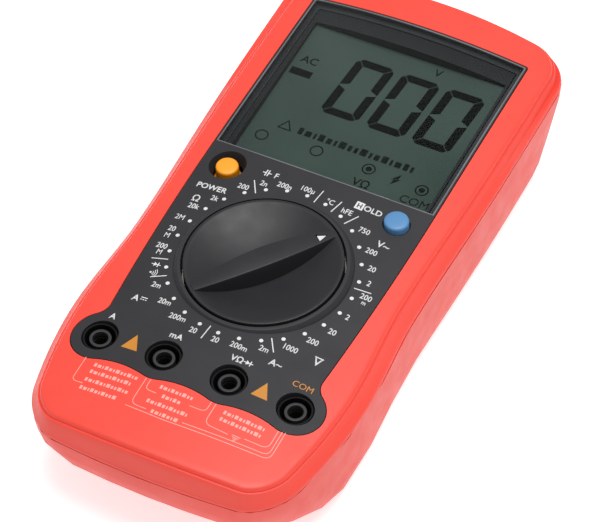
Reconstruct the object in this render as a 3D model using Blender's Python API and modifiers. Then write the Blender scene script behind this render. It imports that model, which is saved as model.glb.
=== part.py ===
"""Handheld digital multimeter as an assembly of separate pieces.

Metres, +Z up. The meter lies on its back: the flat back is at Z = 0, +X is the user's right, +Y points
from the input sockets to the display, and the origin is under the middle of the case.
"""

import math

import bmesh
import bpy
from mathutils import Matrix, Vector


def mm(*values):
    """Millimetres as metres: a number, or a tuple of them."""
    scaled = tuple(value * 0.001 for value in values)
    return scaled[0] if len(scaled) == 1 else scaled


# Driving dimensions.
HALF_LENGTH = mm(90.1)
HALF_WIDTH = mm(43.4)
PANEL_TOP = mm(36.0)
PARTING = mm(27.0)
WALL = mm(2.2)
GAP = mm(0.3)
DOME_ACROSS = 2.29
DOME_ALONG = 0.17
END_ARC = 1.8

WAIST_Y = mm(-17)
WAIST_DEPTH = mm(1.9)
WAIST_REACH_UP = mm(42)
WAIST_REACH_DOWN = mm(22)
TAPER_START = mm(-45)
TAPER_RATE = 3.8

DIAL_Y = mm(-19.9)
DIAL_POSITIONS = 28
POINTER_STEPS = 3
JACK_PITCH = mm(19.05)
JACK_Y = mm(-58.2)
JACK_NAMES = ("amps", "milliamps", "volts_ohms", "common")
BUTTON_X = mm(25.6)
BUTTON_Y = mm(8.1)

PANEL_TOP_Y = mm(77.4)
PANEL_THICKNESS = mm(3.8)
FLANGE_TOP = mm(2.5)
FLANGE_WIDTH = mm(1.5)
PANEL_HALF = mm(33.3)
PANEL_PINCH = mm(2.3)
PANEL_PINCH_FROM = mm(16)
NECK_Y = mm(-47.8)
LOBE_RADIUS = mm(7.8)
NECK_FILLET = mm(5.0)
SCALLOP_TOP_Y = mm(-64.7)

WINDOW_HALF = mm(32.8)
WINDOW_TOP_Y = mm(77.0)
WINDOW_BOTTOM_Y = mm(14.0)
WINDOW_BOTTOM_ARC = mm(1.8)
LENS_THICKNESS = mm(1.5)
LEDGE_WIDTH = mm(1.5)
LEDGE_WIDTH_BOTTOM = mm(1.1)
LCD_TOP = mm(29.55)
LCD_THICKNESS = mm(2.8)
LCD_HALF = mm(30.6)
LCD_LOW_Y = mm(16.0)
LCD_HIGH_Y = mm(73.0)
BEZEL_HALF = mm(30.7)
BEZEL_OPEN_X = mm(-29.05, 30.0)
BEZEL_Y = mm(17.1, 74.8)
BEZEL_OPEN_TOP = mm(69.7)

KNOB_RADIUS = mm(21.5)
KNOB_HOLE = mm(22.1)
KNOB_RIM = mm(0.9)
KNOB_RIM_WIDTH = mm(0.9)
DISH_DEPTH = mm(4.2)
BAR_HALF_LENGTH = mm(21.0)
BAR_CROWN = mm(1.8)
BAR_TIP_HALF = mm(1.1)
BAR_BULGE = mm(2.25)
COLLAR_HEIGHT = mm(0.5)
COLLAR_OUTER = mm(24.4)

PCB_TOP = mm(23.1)
PCB_THICKNESS = mm(1.6)
PCB_HALF = mm(35.5)
PCB_Y = mm(-66.5, 76.0)

DOOR_HALF = mm(27.0)
DOOR_Y = mm(-67.7, -32.6)
DOOR_SCREW_Y = mm(-36.6)
STAND_HALF = mm(22.0)
STAND_HINGE_Y = mm(34.5)
STAND_HINGE_Z = mm(2.6)
STAND_FOOT_Y = mm(-27.0)
STAND_THICKNESS = mm(2.6)
STAND_CLEAR = mm(0.4)
KNUCKLE_RADIUS = mm(2.2)
CASE_SCREWS = (mm(27.0, 81.2), mm(-27.0, 81.2), mm(27.0, -79.5), mm(-27.0, -79.5))
CASE_SCREW_Z = mm(17.2)
SCREW_HEAD = mm(1.8)
BOARD_SCREWS = (mm(29.0, -40.0), mm(-29.0, -40.0), mm(0.0, 9.4))

MODEL = None
HELPERS = None
MATERIALS = {}


# Scene, materials and objects.


def clear_scene():
    for leftover in list(bpy.data.objects):
        bpy.data.objects.remove(leftover, do_unlink=True)


def new_collection(name):
    collection = bpy.data.collections.new(name)
    bpy.context.scene.collection.children.link(collection)
    return collection


def material(name, color, roughness=0.5, metallic=0.0, alpha=1.0):
    made = bpy.data.materials.new(name)
    made.use_nodes = True
    shader = made.node_tree.nodes["Principled BSDF"]
    shader.inputs["Base Color"].default_value = (*color, 1.0)
    shader.inputs["Roughness"].default_value = roughness
    shader.inputs["Metallic"].default_value = metallic
    shader.inputs["Alpha"].default_value = alpha
    MATERIALS[name] = made


def make_materials():
    material("case_red", (0.86, 0.095, 0.06), 0.42)
    material("panel_grey", (0.055, 0.055, 0.06), 0.5)
    material("window_clear", (0.75, 0.8, 0.8), 0.05, alpha=0.25)
    material("bezel_black", (0.012, 0.012, 0.013), 0.3)
    material("lcd_green", (0.055, 0.07, 0.062), 0.2)
    material("elastomer", (0.03, 0.03, 0.03), 0.8)
    material("knob_grey", (0.045, 0.045, 0.048), 0.4)
    material("print_white", (0.8, 0.8, 0.8), 0.5)
    material("rotor_ivory", (0.7, 0.68, 0.6), 0.5)
    material("spring_steel", (0.6, 0.6, 0.6), 0.3, 1.0)
    material("contact_brass", (0.75, 0.55, 0.25), 0.3, 1.0)
    material("button_yellow", (0.95, 0.42, 0.02), 0.35)
    material("button_blue", (0.12, 0.38, 0.68), 0.35)
    material("switch_black", (0.02, 0.02, 0.02), 0.5)
    material("jack_black", (0.01, 0.01, 0.01), 0.35)
    material("board_green", (0.03, 0.16, 0.06), 0.4)
    material("chip_black", (0.02, 0.02, 0.022), 0.5)
    material("fuse_glass", (0.8, 0.85, 0.85), 0.05, alpha=0.4)
    material("shunt_alloy", (0.55, 0.4, 0.3), 0.35, 1.0)
    material("battery_jacket", (0.05, 0.06, 0.1), 0.3, 0.3)
    material("lead_red", (0.6, 0.03, 0.03), 0.5)
    material("lead_black", (0.02, 0.02, 0.02), 0.5)
    material("screw_steel", (0.45, 0.45, 0.47), 0.35, 1.0)


def register(obj, material_name):
    """Puts an object in the model, with its material, or among the helpers where it has none."""
    for holder in list(obj.users_collection):
        holder.objects.unlink(obj)
    if material_name is None:
        HELPERS.objects.link(obj)
        obj.hide_render = True
        obj.display_type = "WIRE"
    else:
        MODEL.objects.link(obj)
        obj.data.materials.clear()
        obj.data.materials.append(MATERIALS[material_name])
    return obj


def object_from_bmesh(name, work, material_name, location=(0, 0, 0)):
    bmesh.ops.recalc_face_normals(work, faces=work.faces)
    mesh = bpy.data.meshes.new(name)
    work.to_mesh(mesh)
    work.free()
    obj = bpy.data.objects.new(name, mesh)
    obj.location = location
    return register(obj, material_name)


def smooth(obj, angle=35):
    obj.data.shade_smooth()
    obj.data.set_sharp_from_angle(angle=math.radians(angle))
    return obj


def bake(obj):
    """Replaces the object's mesh by its evaluated one and drops its modifiers."""
    graph = bpy.context.evaluated_depsgraph_get()
    mesh = bpy.data.meshes.new_from_object(obj.evaluated_get(graph))
    obj.modifiers.clear()
    obj.data = mesh
    return obj


def box(name, material_name, low, high, bevel=0.0):
    """A box between two corners, with its origin in its middle."""
    low, high = Vector(low), Vector(high)
    work = bmesh.new()
    bmesh.ops.create_cube(work, size=1.0)
    bmesh.ops.scale(work, vec=high - low, verts=work.verts)
    obj = object_from_bmesh(name, work, material_name, (low + high) / 2)
    if bevel:
        rounding = obj.modifiers.new("rounding", "BEVEL")
        rounding.width = bevel
        rounding.segments = 2
    return obj


def cylinder(name, material_name, radius, base, height, top_radius=None, segments=24, axis="Z"):
    """A cylinder or cone that starts at base and runs along +Z or +X, with its origin at base."""
    work = bmesh.new()
    bmesh.ops.create_cone(
        work,
        cap_ends=True,
        segments=segments,
        radius1=radius,
        radius2=radius if top_radius is None else top_radius,
        depth=height,
    )
    bmesh.ops.translate(work, vec=(0, 0, height / 2), verts=work.verts)
    if axis == "X":
        turn = Matrix.Rotation(math.radians(90), 3, "Y")
        bmesh.ops.rotate(work, matrix=turn, verts=work.verts)
    return smooth(object_from_bmesh(name, work, material_name, base))


def turned(name, material_name, profile, location, steps=32, closed=False):
    """A solid of revolution. The profile is (radius, height) points down its outer side, top to bottom."""
    mesh = bpy.data.meshes.new(name)
    points = [(radius, 0.0, height) for radius, height in profile]
    edges = [(i, i + 1) for i in range(len(points) - 1)]
    if closed:
        edges.append((len(points) - 1, 0))
    mesh.from_pydata(points, edges, [])
    obj = bpy.data.objects.new(name, mesh)
    obj.location = location
    register(obj, material_name)
    spin = obj.modifiers.new("turn", "SCREW")
    spin.axis = "Z"
    spin.angle = math.radians(360)
    spin.steps = steps
    spin.render_steps = steps
    spin.use_merge_vertices = True
    spin.merge_threshold = 1e-5
    spin.use_smooth_shade = False
    return obj


def outline_solid(name, material_name, points, low, high):
    """A flat outline, given as (x, y) points, made solid between two heights."""
    curve = bpy.data.curves.new(name, "CURVE")
    curve.dimensions = "2D"
    curve.fill_mode = "BOTH"
    curve.extrude = (high - low) / 2
    spline = curve.splines.new("POLY")
    spline.points.add(len(points) - 1)
    for target, (x, y) in zip(spline.points, points):
        target.co = (x, y, 0, 1)
    spline.use_cyclic_u = True
    drawn = bpy.data.objects.new(name + "_outline", curve)
    drawn.location = (0, 0, (low + high) / 2)
    bpy.context.scene.collection.objects.link(drawn)
    return mesh_from_curve(drawn, name, material_name)


def mesh_from_curve(drawn, name, material_name):
    """Swaps a curve object for a mesh object of the same shape, with its caps welded on."""
    bpy.context.view_layer.update()
    graph = bpy.context.evaluated_depsgraph_get()
    mesh = bpy.data.meshes.new_from_object(drawn.evaluated_get(graph))
    work = bmesh.new()
    work.from_mesh(mesh)
    bmesh.ops.remove_doubles(work, verts=work.verts, dist=1e-6)
    bmesh.ops.recalc_face_normals(work, faces=work.faces)
    work.to_mesh(mesh)
    work.free()
    obj = bpy.data.objects.new(name, mesh)
    obj.matrix_world = drawn.matrix_world.copy()
    bpy.data.objects.remove(drawn, do_unlink=True)
    return register(obj, material_name)


def wire(name, material_name, route, radius):
    """A round wire along a smooth route, as a curve with filled ends."""
    curve = bpy.data.curves.new(name, "CURVE")
    curve.dimensions = "3D"
    curve.bevel_depth = radius
    curve.bevel_resolution = 2
    curve.use_fill_caps = True
    spline = curve.splines.new("POLY")
    spline.points.add(len(route) - 1)
    for target, point in zip(spline.points, route):
        target.co = (*point, 1)
    return register(bpy.data.objects.new(name, curve), material_name)


def loft(name, material_name, rings, apex):
    """A closed body through rings of equally many points. It ends in a flat cap at the first ring and in a
    fan to the apex at the last."""
    work = bmesh.new()
    loops = [[work.verts.new(point) for point in ring] for ring in rings]
    count = len(rings[0])
    for lower, upper in zip(loops, loops[1:]):
        for i in range(count):
            j = (i + 1) % count
            work.faces.new((lower[i], lower[j], upper[j], upper[i]))
    work.faces.new(loops[0])
    tip = work.verts.new(apex)
    for i in range(count):
        work.faces.new((loops[-1][i], loops[-1][(i + 1) % count], tip))
    return object_from_bmesh(name, work, material_name)


def combine(obj, other, operation):
    step = obj.modifiers.new(operation.lower(), "BOOLEAN")
    step.object = other
    step.operation = operation
    step.solver = "EXACT"
    return obj


def cut(obj, *cutters):
    for cutter in cutters:
        combine(obj, cutter, "DIFFERENCE")
    return obj


def join(obj, *others):
    for other in others:
        combine(obj, other, "UNION")
    return obj


def attach(parent, *children):
    """Parents objects without moving them."""
    bpy.context.view_layer.update()
    for child in children:
        child.parent = parent
        child.matrix_parent_inverse = parent.matrix_world.inverted()


def axis_empty(name, location):
    empty = bpy.data.objects.new(name, None)
    empty.location = location
    empty.empty_display_size = mm(10)
    MODEL.objects.link(empty)
    return empty


# Outlines and the domed face.


def arc(centre, radius, start, end, count):
    """Points on an arc, its angles in degrees."""
    angles = [math.radians(start + (end - start) * i / count) for i in range(count + 1)]
    return [(centre[0] + radius * math.cos(a), centre[1] + radius * math.sin(a)) for a in angles]


def mirrored(right_side):
    """A closed outline from its right half, listed from top to bottom."""
    return right_side + [(-x, y) for x, y in reversed(right_side) if x > 0]


def face_height(x, y):
    """Height of the gently domed front face."""
    return PANEL_TOP - DOME_ACROSS * x * x - DOME_ALONG * (y - DIAL_Y) ** 2


def pinch(y):
    """How much narrower the case is at y than its full half width."""
    reach = WAIST_REACH_UP if y > WAIST_Y else WAIST_REACH_DOWN
    waist = WAIST_DEPTH * math.exp(-(((y - WAIST_Y) / reach) ** 2))
    return waist + TAPER_RATE * max(0.0, TAPER_START - y) ** 2


def body_ring(side, top, bottom, radius, height):
    """One level of the case's outline, moved in from the full size at its sides and ends."""
    half = HALF_WIDTH - side
    high = HALF_LENGTH - top
    low = bottom - HALF_LENGTH
    corners = (
        ((half - radius, low + radius), -90),
        ((half - radius, high - radius), 0),
        ((radius - half, high - radius), 90),
        ((radius - half, low + radius), 180),
    )
    straight = (8, 4, 8, 4)
    outline = []
    for index, (centre, start) in enumerate(corners):
        bend = arc(centre, radius, start, start + 90, 4)
        following, following_start = corners[(index + 1) % 4]
        target = arc(following, radius, following_start, following_start, 1)[0]
        outline += bend
        for i in range(1, straight[index]):
            share = i / straight[index]
            outline.append(tuple(a + (b - a) * share for a, b in zip(bend[-1], target)))
    ring = []
    for x, y in outline:
        x *= 1 - pinch(y) / HALF_WIDTH
        y -= math.copysign(END_ARC * x * x, y)
        ring.append((x, y, height(x, y) if callable(height) else height))
    return ring


def shrunk(ring, share, height):
    """A ring pulled towards the middle of the face, back on the surface."""
    points = [(x * share, y * share) for x, y, _ in ring]
    return [(x, y, height(x, y)) for x, y in points]


def panel_side(y):
    share = max(0.0, (PANEL_PINCH_FROM - y) / (PANEL_PINCH_FROM - NECK_Y))
    return PANEL_HALF - PANEL_PINCH * share * share


def panel_outline(grow):
    """The dark panel: straight beside the display, waisted beside the dial, and lobed round the sockets."""
    lobe = LOBE_RADIUS + grow
    fillet = NECK_FILLET - grow
    corner = (1.5 * JACK_PITCH, JACK_Y)
    neck_x = panel_side(NECK_Y) + grow + fillet
    neck_rise = math.sqrt((lobe + fillet) ** 2 - (neck_x - corner[0]) ** 2)
    neck_angle = math.degrees(math.atan2(neck_rise, neck_x - corner[0]))
    half_pitch = JACK_PITCH / 2
    drop = JACK_Y - SCALLOP_TOP_Y + grow
    scallop = (half_pitch**2 + drop**2 - lobe**2) / (2 * (lobe - drop))
    dip_angle = math.degrees(math.atan2(drop + scallop, half_pitch))
    right = [(PANEL_HALF + grow, PANEL_TOP_Y + grow)]
    levels = (16, 4, -8, -20, -30, -40)
    right += [(panel_side(mm(level)) + grow, mm(level)) for level in levels]
    right += arc((neck_x, JACK_Y + neck_rise), fillet, 180, 180 + neck_angle, 4)
    right += arc(corner, lobe, neck_angle, -90 + (90 - dip_angle), 12)[1:]
    outline = right + arc(corner, lobe, -dip_angle, dip_angle - 180, 3)[1:]
    middle = (JACK_PITCH, JACK_Y - drop - scallop)
    outline += arc(middle, scallop, dip_angle, 180 - dip_angle, 5)[1:]
    inner = (half_pitch, JACK_Y)
    outline += arc(inner, lobe, -dip_angle, dip_angle - 180, 3)[1:]
    centre = (0.0, JACK_Y - drop - scallop)
    outline += arc(centre, scallop, dip_angle, 90, 3)[1:]
    return mirrored([(max(x, 0.0), y) for x, y in outline])


def window_outline(inset, bottom_inset):
    """The display window: straight sides and top, and a bottom edge that bows towards the dial."""
    half = WINDOW_HALF - inset
    count = 6
    right = [(half, WINDOW_TOP_Y - inset)]
    for i in range(count, -1, -1):
        x = half * i / count
        bow = WINDOW_BOTTOM_ARC * (x / WINDOW_HALF) ** 2
        right.append((x, WINDOW_BOTTOM_Y + bow + bottom_inset))
    return mirrored(right)


def dome_slab(name, depth, thickness):
    """A helper sheet that follows the face at a depth below it."""
    bpy.ops.mesh.primitive_grid_add(x_subdivisions=10, y_subdivisions=6, size=1.0)
    obj = bpy.context.object
    obj.name = name
    for vertex in obj.data.vertices:
        x, y = vertex.co.x * HALF_WIDTH * 2.2, vertex.co.y * HALF_LENGTH * 2.2
        vertex.co = (x, y, face_height(x, y) - depth)
    register(obj, None)
    skin = obj.modifiers.new("thickness", "SOLIDIFY")
    skin.thickness = thickness
    skin.offset = -1.0
    return obj


def plate_on_dome(name, material_name, outline, depth, thickness):
    """A plate of the given outline that follows the domed face."""
    plate = outline_solid(name, material_name, outline, mm(15), mm(50))
    combine(plate, dome_slab(name + "_slab", depth, thickness), "INTERSECT")
    return bake(plate)


# Case shells.


def case_body(name, rings, cap_height, shares=(0.8, 0.6)):
    """A case-shaped solid that closes in a dome."""
    last = rings[-1]
    rings = rings + [shrunk(last, share, cap_height) for share in shares]
    return loft(name, None, rings, (0, 0, cap_height(0, 0)))


def below_face(depth):
    return lambda x, y: face_height(x, y) - depth


def front_hollow(name, inset):
    """The space inside the front shell, less an inset."""
    side, low = WALL + inset, PARTING - mm(2)
    rings = [
        body_ring(side, side, side, mm(9), low),
        body_ring(side, side, side, mm(9), PARTING + mm(0.6)),
        body_ring(mm(4.8) + inset, mm(2.8) + inset, mm(4.2) + inset, mm(7.5), below_face(mm(3.4))),
        body_ring(mm(6.2) + inset, mm(4.0) + inset, mm(5.6) + inset, mm(6.5), below_face(WALL + inset)),
    ]
    return case_body(name, rings, below_face(WALL + inset))


def make_front_case():
    outer = [
        body_ring(0, 0, 0, mm(11), PARTING),
        body_ring(mm(0.6), mm(0.1), mm(0.5), mm(10.8), PARTING + mm(1.2)),
        body_ring(*mm(2.9, 0.6, 2.1, 9.0), below_face(mm(1.3))),
        body_ring(*mm(3.4, 0.9, 2.6, 8.6), below_face(mm(0.5))),
        body_ring(*mm(4.2, 1.6, 3.4, 8.0), below_face(mm(0.12))),
        body_ring(*mm(5.4, 2.8, 4.6, 7.0), below_face(0)),
    ]
    shell = case_body("front_case", outer, below_face(0))
    register(shell, "case_red")
    shell.hide_render = False
    shell.display_type = "TEXTURED"
    cut(shell, front_hollow("front_hollow", 0))
    for index, (x, y) in enumerate(CASE_SCREWS):
        rise = face_height(x, y) - PARTING - mm(1.2)
        join(shell, cylinder(f"front_boss_{index}", None, mm(3.1), (x, y, PARTING), rise, segments=16))
        bore = (x, y, PARTING - mm(1))
        cut(shell, cylinder(f"front_pilot_{index}", None, mm(1.5), bore, mm(4.6), segments=12))
    cut(shell, outline_solid("panel_pocket", None, panel_outline(GAP), mm(20), mm(45)))
    return smooth(bake(shell), 30)


def make_rear_case():
    top = PARTING - GAP
    levels = (
        (0.0, 0.0, 0.0, 11.0, 26.7),
        (0.1, 0.2, 0.1, 12.0, 22.0),
        (0.4, 0.8, 2.4, 16.0, 15.5),
        (1.1, 2.0, 7.6, 19.0, 8.0),
        (2.0, 3.6, 10.6, 20.0, 4.0),
        (3.8, 5.6, 12.8, 19.0, 1.4),
        (7.0, 8.6, 15.8, 17.0, 0.0),
    )
    inner_levels = (
        (2.2, 2.2, 2.2, 9.0, 28.0),
        (2.5, 2.5, 3.0, 9.0, 22.0),
        (3.4, 3.4, 8.2, 10.0, 15.5),
        (5.2, 5.2, 14.6, 10.5, 8.0),
        (9.0, 9.0, 19.4, 10.0, 2.6),
    )
    outer = [body_ring(*mm(*level)) for level in levels]
    inner = [body_ring(*mm(*level)) for level in inner_levels]
    shell = loft("rear_case", "case_red", outer, (0, 0, 0))
    cut(shell, loft("rear_hollow", None, inner, (0, 0, mm(inner_levels[-1][-1]))))
    core_rings = [shrunk(ring, 0.985, mid_height(ring)) for ring in outer]
    core = loft("rear_core", None, core_rings, (0, 0, mm(0.4)))
    add_battery_bay(shell)
    add_stand_pocket(shell)
    for index, (x, y) in enumerate(CASE_SCREWS):
        start = (x, y, mm(2.0))
        boss = cylinder(f"rear_boss_{index}", None, mm(4.2), start, top - mm(0.2) - start[2], segments=16)
        combine(boss, core, "INTERSECT")
        join(shell, bake(boss))
        head = (x, y, mm(-5))
        sink = CASE_SCREW_Z + SCREW_HEAD + GAP - head[2]
        cut(shell, cylinder(f"rear_counterbore_{index}", None, mm(3.1), head, sink, segments=16))
        cut(shell, cylinder(f"rear_clearance_{index}", None, mm(1.5), head, mm(40), segments=12))
    return smooth(bake(shell), 30)


def mid_height(ring):
    """The height of a level ring, kept off the very top and bottom of the shell."""
    level = min(max(ring[0][2], mm(0.4)), PARTING - GAP - mm(0.1))
    return lambda x, y: level


def add_battery_bay(shell):
    """A walled bay for the battery, its door opening and the boss of the door's screw."""
    low, high = DOOR_Y
    wall, half, end = mm(1.4, 30.6, -37.0)
    start = low - mm(1.0)
    block = box("bay_block", None, (-half, start, mm(2.0)), (half, end, mm(17)))
    seat = box("door_seat", None, (-half, end - mm(2), mm(1.5)), (half, high + mm(1.6), mm(4.6)))
    boss = cylinder("door_boss", None, mm(3.4), (0, DOOR_SCREW_Y, mm(2.0)), mm(8), segments=16)
    join(shell, block, seat, boss)
    space = box("bay_space", None, (wall - half, start + wall, mm(2.75)), (half - wall, end - wall, mm(25)))
    opening = box(
        "door_opening",
        None,
        (-DOOR_HALF - GAP, low - GAP, mm(-3)),
        (DOOR_HALF + GAP, high + GAP, mm(2.95)),
    )
    pilot = cylinder("door_pilot", None, mm(1.4), (0, DOOR_SCREW_Y, mm(1)), mm(7), segments=12)
    lead_slot = box("lead_slot", None, mm(24, -56, 12), mm(33, -46, 25))
    cut(shell, space, opening, pilot, lead_slot)


def add_stand_pocket(shell):
    """The shallow pocket that holds the folded stand, deeper at its hinge."""
    side = STAND_HALF + GAP + mm(2.2)
    hinge_low = STAND_HINGE_Y - KNUCKLE_RADIUS - mm(0.5)
    hinge_high = STAND_HINGE_Y + KNUCKLE_RADIUS + mm(0.5)
    floor = STAND_CLEAR + STAND_THICKNESS + mm(0.5)
    foot = STAND_FOOT_Y - GAP
    deep = STAND_HINGE_Z + KNUCKLE_RADIUS + mm(0.4)
    backing_low = (-side, foot - mm(1.6), mm(1))
    backing = box("pocket_backing", None, backing_low, (side, STAND_HINGE_Y, floor + mm(1.6)))
    hinge_backing = box(
        "hinge_backing",
        None,
        (-side - mm(2), hinge_low - mm(1.8), mm(1.4)),
        (side + mm(2), hinge_high + mm(1.8), deep + mm(1.6)),
    )
    join(shell, backing, hinge_backing)
    width = STAND_HALF + GAP
    pocket = box("pocket_cut", None, (-width, foot, mm(-3)), (width, STAND_HINGE_Y, floor))
    nail_notch = box("nail_notch", None, mm(-8, -29.0, -3), mm(8, -25, 1.6))
    hinge_cut = box("hinge_cut", None, (-width, hinge_low, mm(-3)), (width, hinge_high, deep))
    pin_start = (-STAND_HALF - mm(2.4), STAND_HINGE_Y, STAND_HINGE_Z)
    pin_hole = cylinder(
        "pin_hole", None, mm(1.45), pin_start, 2 * (STAND_HALF + mm(2.4)), segments=16, axis="X"
    )
    cut(shell, pocket, nail_notch, hinge_cut, pin_hole)


# Face panel and display.


def make_front_panel():
    panel = plate_on_dome("front_panel", "panel_grey", panel_outline(0), 0, PANEL_THICKNESS)
    flange_thickness = PANEL_THICKNESS - FLANGE_TOP
    flange = plate_on_dome(
        "panel_flange", None, panel_outline(FLANGE_WIDTH), FLANGE_TOP, flange_thickness
    )
    combine(flange, front_hollow("flange_limit", mm(0.35)), "INTERSECT")
    join(panel, bake(flange))
    for index, (x, y) in enumerate(CASE_SCREWS):
        base = (x, y, mm(20))
        cut(panel, cylinder(f"flange_notch_{index}", None, mm(3.5), base, mm(30), segments=16))
    collar = [
        (KNOB_HOLE - mm(1.0), COLLAR_HEIGHT),
        (KNOB_HOLE + mm(0.9), COLLAR_HEIGHT),
        (COLLAR_OUTER - mm(0.4), mm(-0.9)),
        (COLLAR_OUTER, mm(-3.2)),
        (KNOB_HOLE - mm(1.0), mm(-3.2)),
    ]
    join(panel, turned("collar", None, collar, (0, DIAL_Y, PANEL_TOP), 36, closed=True))
    well_top = face_height(BUTTON_X, BUTTON_Y)
    for side in (-1, 1):
        base = (side * BUTTON_X, BUTTON_Y, well_top - mm(5.6))
        join(panel, cylinder(f"button_boss_{side}", None, mm(6.6), base, mm(4.2), segments=24))
    for index, (x, y) in enumerate(BOARD_SCREWS):
        base = (x, y, PCB_TOP + GAP)
        rise = face_height(x, y) - base[2] - mm(1.5)
        join(panel, cylinder(f"board_post_{index}", None, mm(2.6), base, rise, segments=12))
        bore = (x, y, PCB_TOP - mm(1))
        cut(panel, cylinder(f"board_pilot_{index}", None, mm(1.3), bore, mm(7), segments=10))
    lens_seat = outline_solid("lens_seat", None, window_outline(0, 0), mm(10), mm(50))
    combine(lens_seat, dome_slab("lens_seat_slab", -mm(4), LENS_THICKNESS + GAP + mm(4)), "INTERSECT")
    view_hole = outline_solid(
        "view_hole", None, window_outline(LEDGE_WIDTH + GAP, LEDGE_WIDTH_BOTTOM), mm(10), mm(50)
    )
    knob_hole = cylinder("knob_hole", None, KNOB_HOLE, (0, DIAL_Y, mm(20)), mm(30), segments=40)
    power_well = cylinder(
        "power_well", None, mm(3.9), (-BUTTON_X, BUTTON_Y, well_top - mm(6)), mm(6.8), mm(5.5), 28
    )
    hold_hole = cylinder(
        "hold_hole", None, mm(3.85), (BUTTON_X, BUTTON_Y, well_top - mm(7)), mm(12), segments=24
    )
    cut(panel, bake(lens_seat), view_hole, knob_hole, power_well, hold_hole)
    for name, x in jack_places():
        base = (x, JACK_Y, mm(20))
        cut(panel, cylinder(f"socket_hole_{name}", None, mm(5.0), base, mm(30), segments=24))
    return smooth(bake(panel), 30)


def make_display():
    window = plate_on_dome(
        "display_window", "window_clear", window_outline(GAP, GAP), 0, LENS_THICKNESS
    )
    smooth(window, 30)
    bezel = box(
        "display_bezel",
        "bezel_black",
        (-BEZEL_HALF, BEZEL_Y[0], LCD_TOP + GAP),
        (BEZEL_HALF, BEZEL_Y[1], PANEL_TOP),
    )
    combine(bezel, dome_slab("bezel_slab", LENS_THICKNESS + GAP, mm(12)), "INTERSECT")
    opening = box(
        "bezel_opening",
        None,
        (BEZEL_OPEN_X[0], BEZEL_Y[0] - mm(2), mm(20)),
        (BEZEL_OPEN_X[1], BEZEL_OPEN_TOP, mm(40)),
    )
    cut(bezel, opening)
    bake(bezel)
    low = LCD_TOP - LCD_THICKNESS
    box("lcd_glass", "lcd_green", (-LCD_HALF, LCD_LOW_Y, low), (LCD_HALF, LCD_HIGH_Y, LCD_TOP))
    rows = (("zebra_strip_lower", LCD_LOW_Y + mm(0.6)), ("zebra_strip_upper", LCD_HIGH_Y - mm(2.8)))
    for name, y in rows:
        strip_low = (mm(-28), y, PCB_TOP + GAP)
        strip_high = (mm(28), y + mm(2.2), low - GAP)
        box(name, "elastomer", strip_low, strip_high)


# Rotary selector.


def bar_half_width(u):
    share = u / BAR_HALF_LENGTH
    return BAR_TIP_HALF + BAR_BULGE * (1 - share * share)


def bar_height(u):
    share = u / BAR_HALF_LENGTH
    return KNOB_RIM + mm(0.12) + BAR_CROWN * (1 - share * share)


def make_grip_bar(axis_place, angle):
    """The crowned bar across the dish: a loft of four-sided sections along it, wider at its foot."""
    work = bmesh.new()
    count = 14
    foot = KNOB_RIM - DISH_DEPTH - mm(0.8)
    draft = mm(0.9)
    sections = []
    for i in range(count + 1):
        u = BAR_HALF_LENGTH * (2 * i / count - 1) * 0.985
        half, top = bar_half_width(u), bar_height(u)
        corners = ((half, top), (-half, top), (-half - draft, foot), (half + draft, foot))
        sections.append([work.verts.new((u, v, z)) for v, z in corners])
    for here, there in zip(sections, sections[1:]):
        for i in range(4):
            j = (i + 1) % 4
            work.faces.new((here[i], here[j], there[j], there[i]))
    work.faces.new(sections[0])
    work.faces.new(sections[-1])
    bar = object_from_bmesh("grip_bar", work, None, axis_place)
    bar.rotation_euler.z = angle
    return bar


def make_selector():
    axis_place = (0, DIAL_Y, PANEL_TOP)
    angle = math.radians(90 - POINTER_STEPS * 360 / DIAL_POSITIONS)
    dish_radius = KNOB_RADIUS - KNOB_RIM_WIDTH
    profile = []
    rings = 8
    for i in range(rings + 1):
        r = dish_radius * i / rings
        profile.append((r, KNOB_RIM - DISH_DEPTH * (1 - (r / dish_radius) ** 2)))
    profile += [
        (KNOB_RADIUS - mm(0.3), KNOB_RIM),
        (KNOB_RADIUS, KNOB_RIM - mm(0.3)),
        (KNOB_RADIUS, mm(-4.4)),
        (KNOB_RADIUS - mm(2.0), mm(-5.0)),
        (0.0, mm(-5.3)),
    ]
    knob = turned("selector_knob", "knob_grey", profile, axis_place, 40)
    bar = make_grip_bar(axis_place, angle)
    stem = cylinder("drive_stem", None, mm(3.6), (0, DIAL_Y, mm(24.6)), mm(6.5), segments=6)
    join(knob, bar, stem)
    forward = Vector((math.cos(angle), math.sin(angle)))
    left = Vector((-forward.y, forward.x))
    pointer_outline = pointer_points(forward, left, mm(1.15))
    recess_outline = pointer_points(forward, left, mm(1.5))
    floor = PANEL_TOP + mm(0.75)
    recess = outline_solid("pointer_recess", None, recess_outline, floor, PANEL_TOP + mm(4))
    cut(knob, recess)
    smooth(bake(knob), 30)
    pointer = outline_solid(
        "knob_pointer", "print_white", pointer_outline, PANEL_TOP + mm(1.05), PANEL_TOP + mm(1.45)
    )
    rotor = make_rotor()
    moving = [knob, pointer, rotor, *make_detents(), *make_wipers()]
    attach(axis_empty("selector_axis", axis_place), *moving)
    make_detent_ring()


def pointer_points(forward, left, half):
    """A triangle on the bar near its tip, aimed at the selected position."""
    dial = Vector((0, DIAL_Y))
    tip = dial + forward * (mm(17.2) + half)
    back = dial + forward * (mm(17.2) - half)
    corners = (tip, back + left * half * 0.9, back - left * half * 0.9)
    return [(corner.x, corner.y) for corner in corners]


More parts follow.
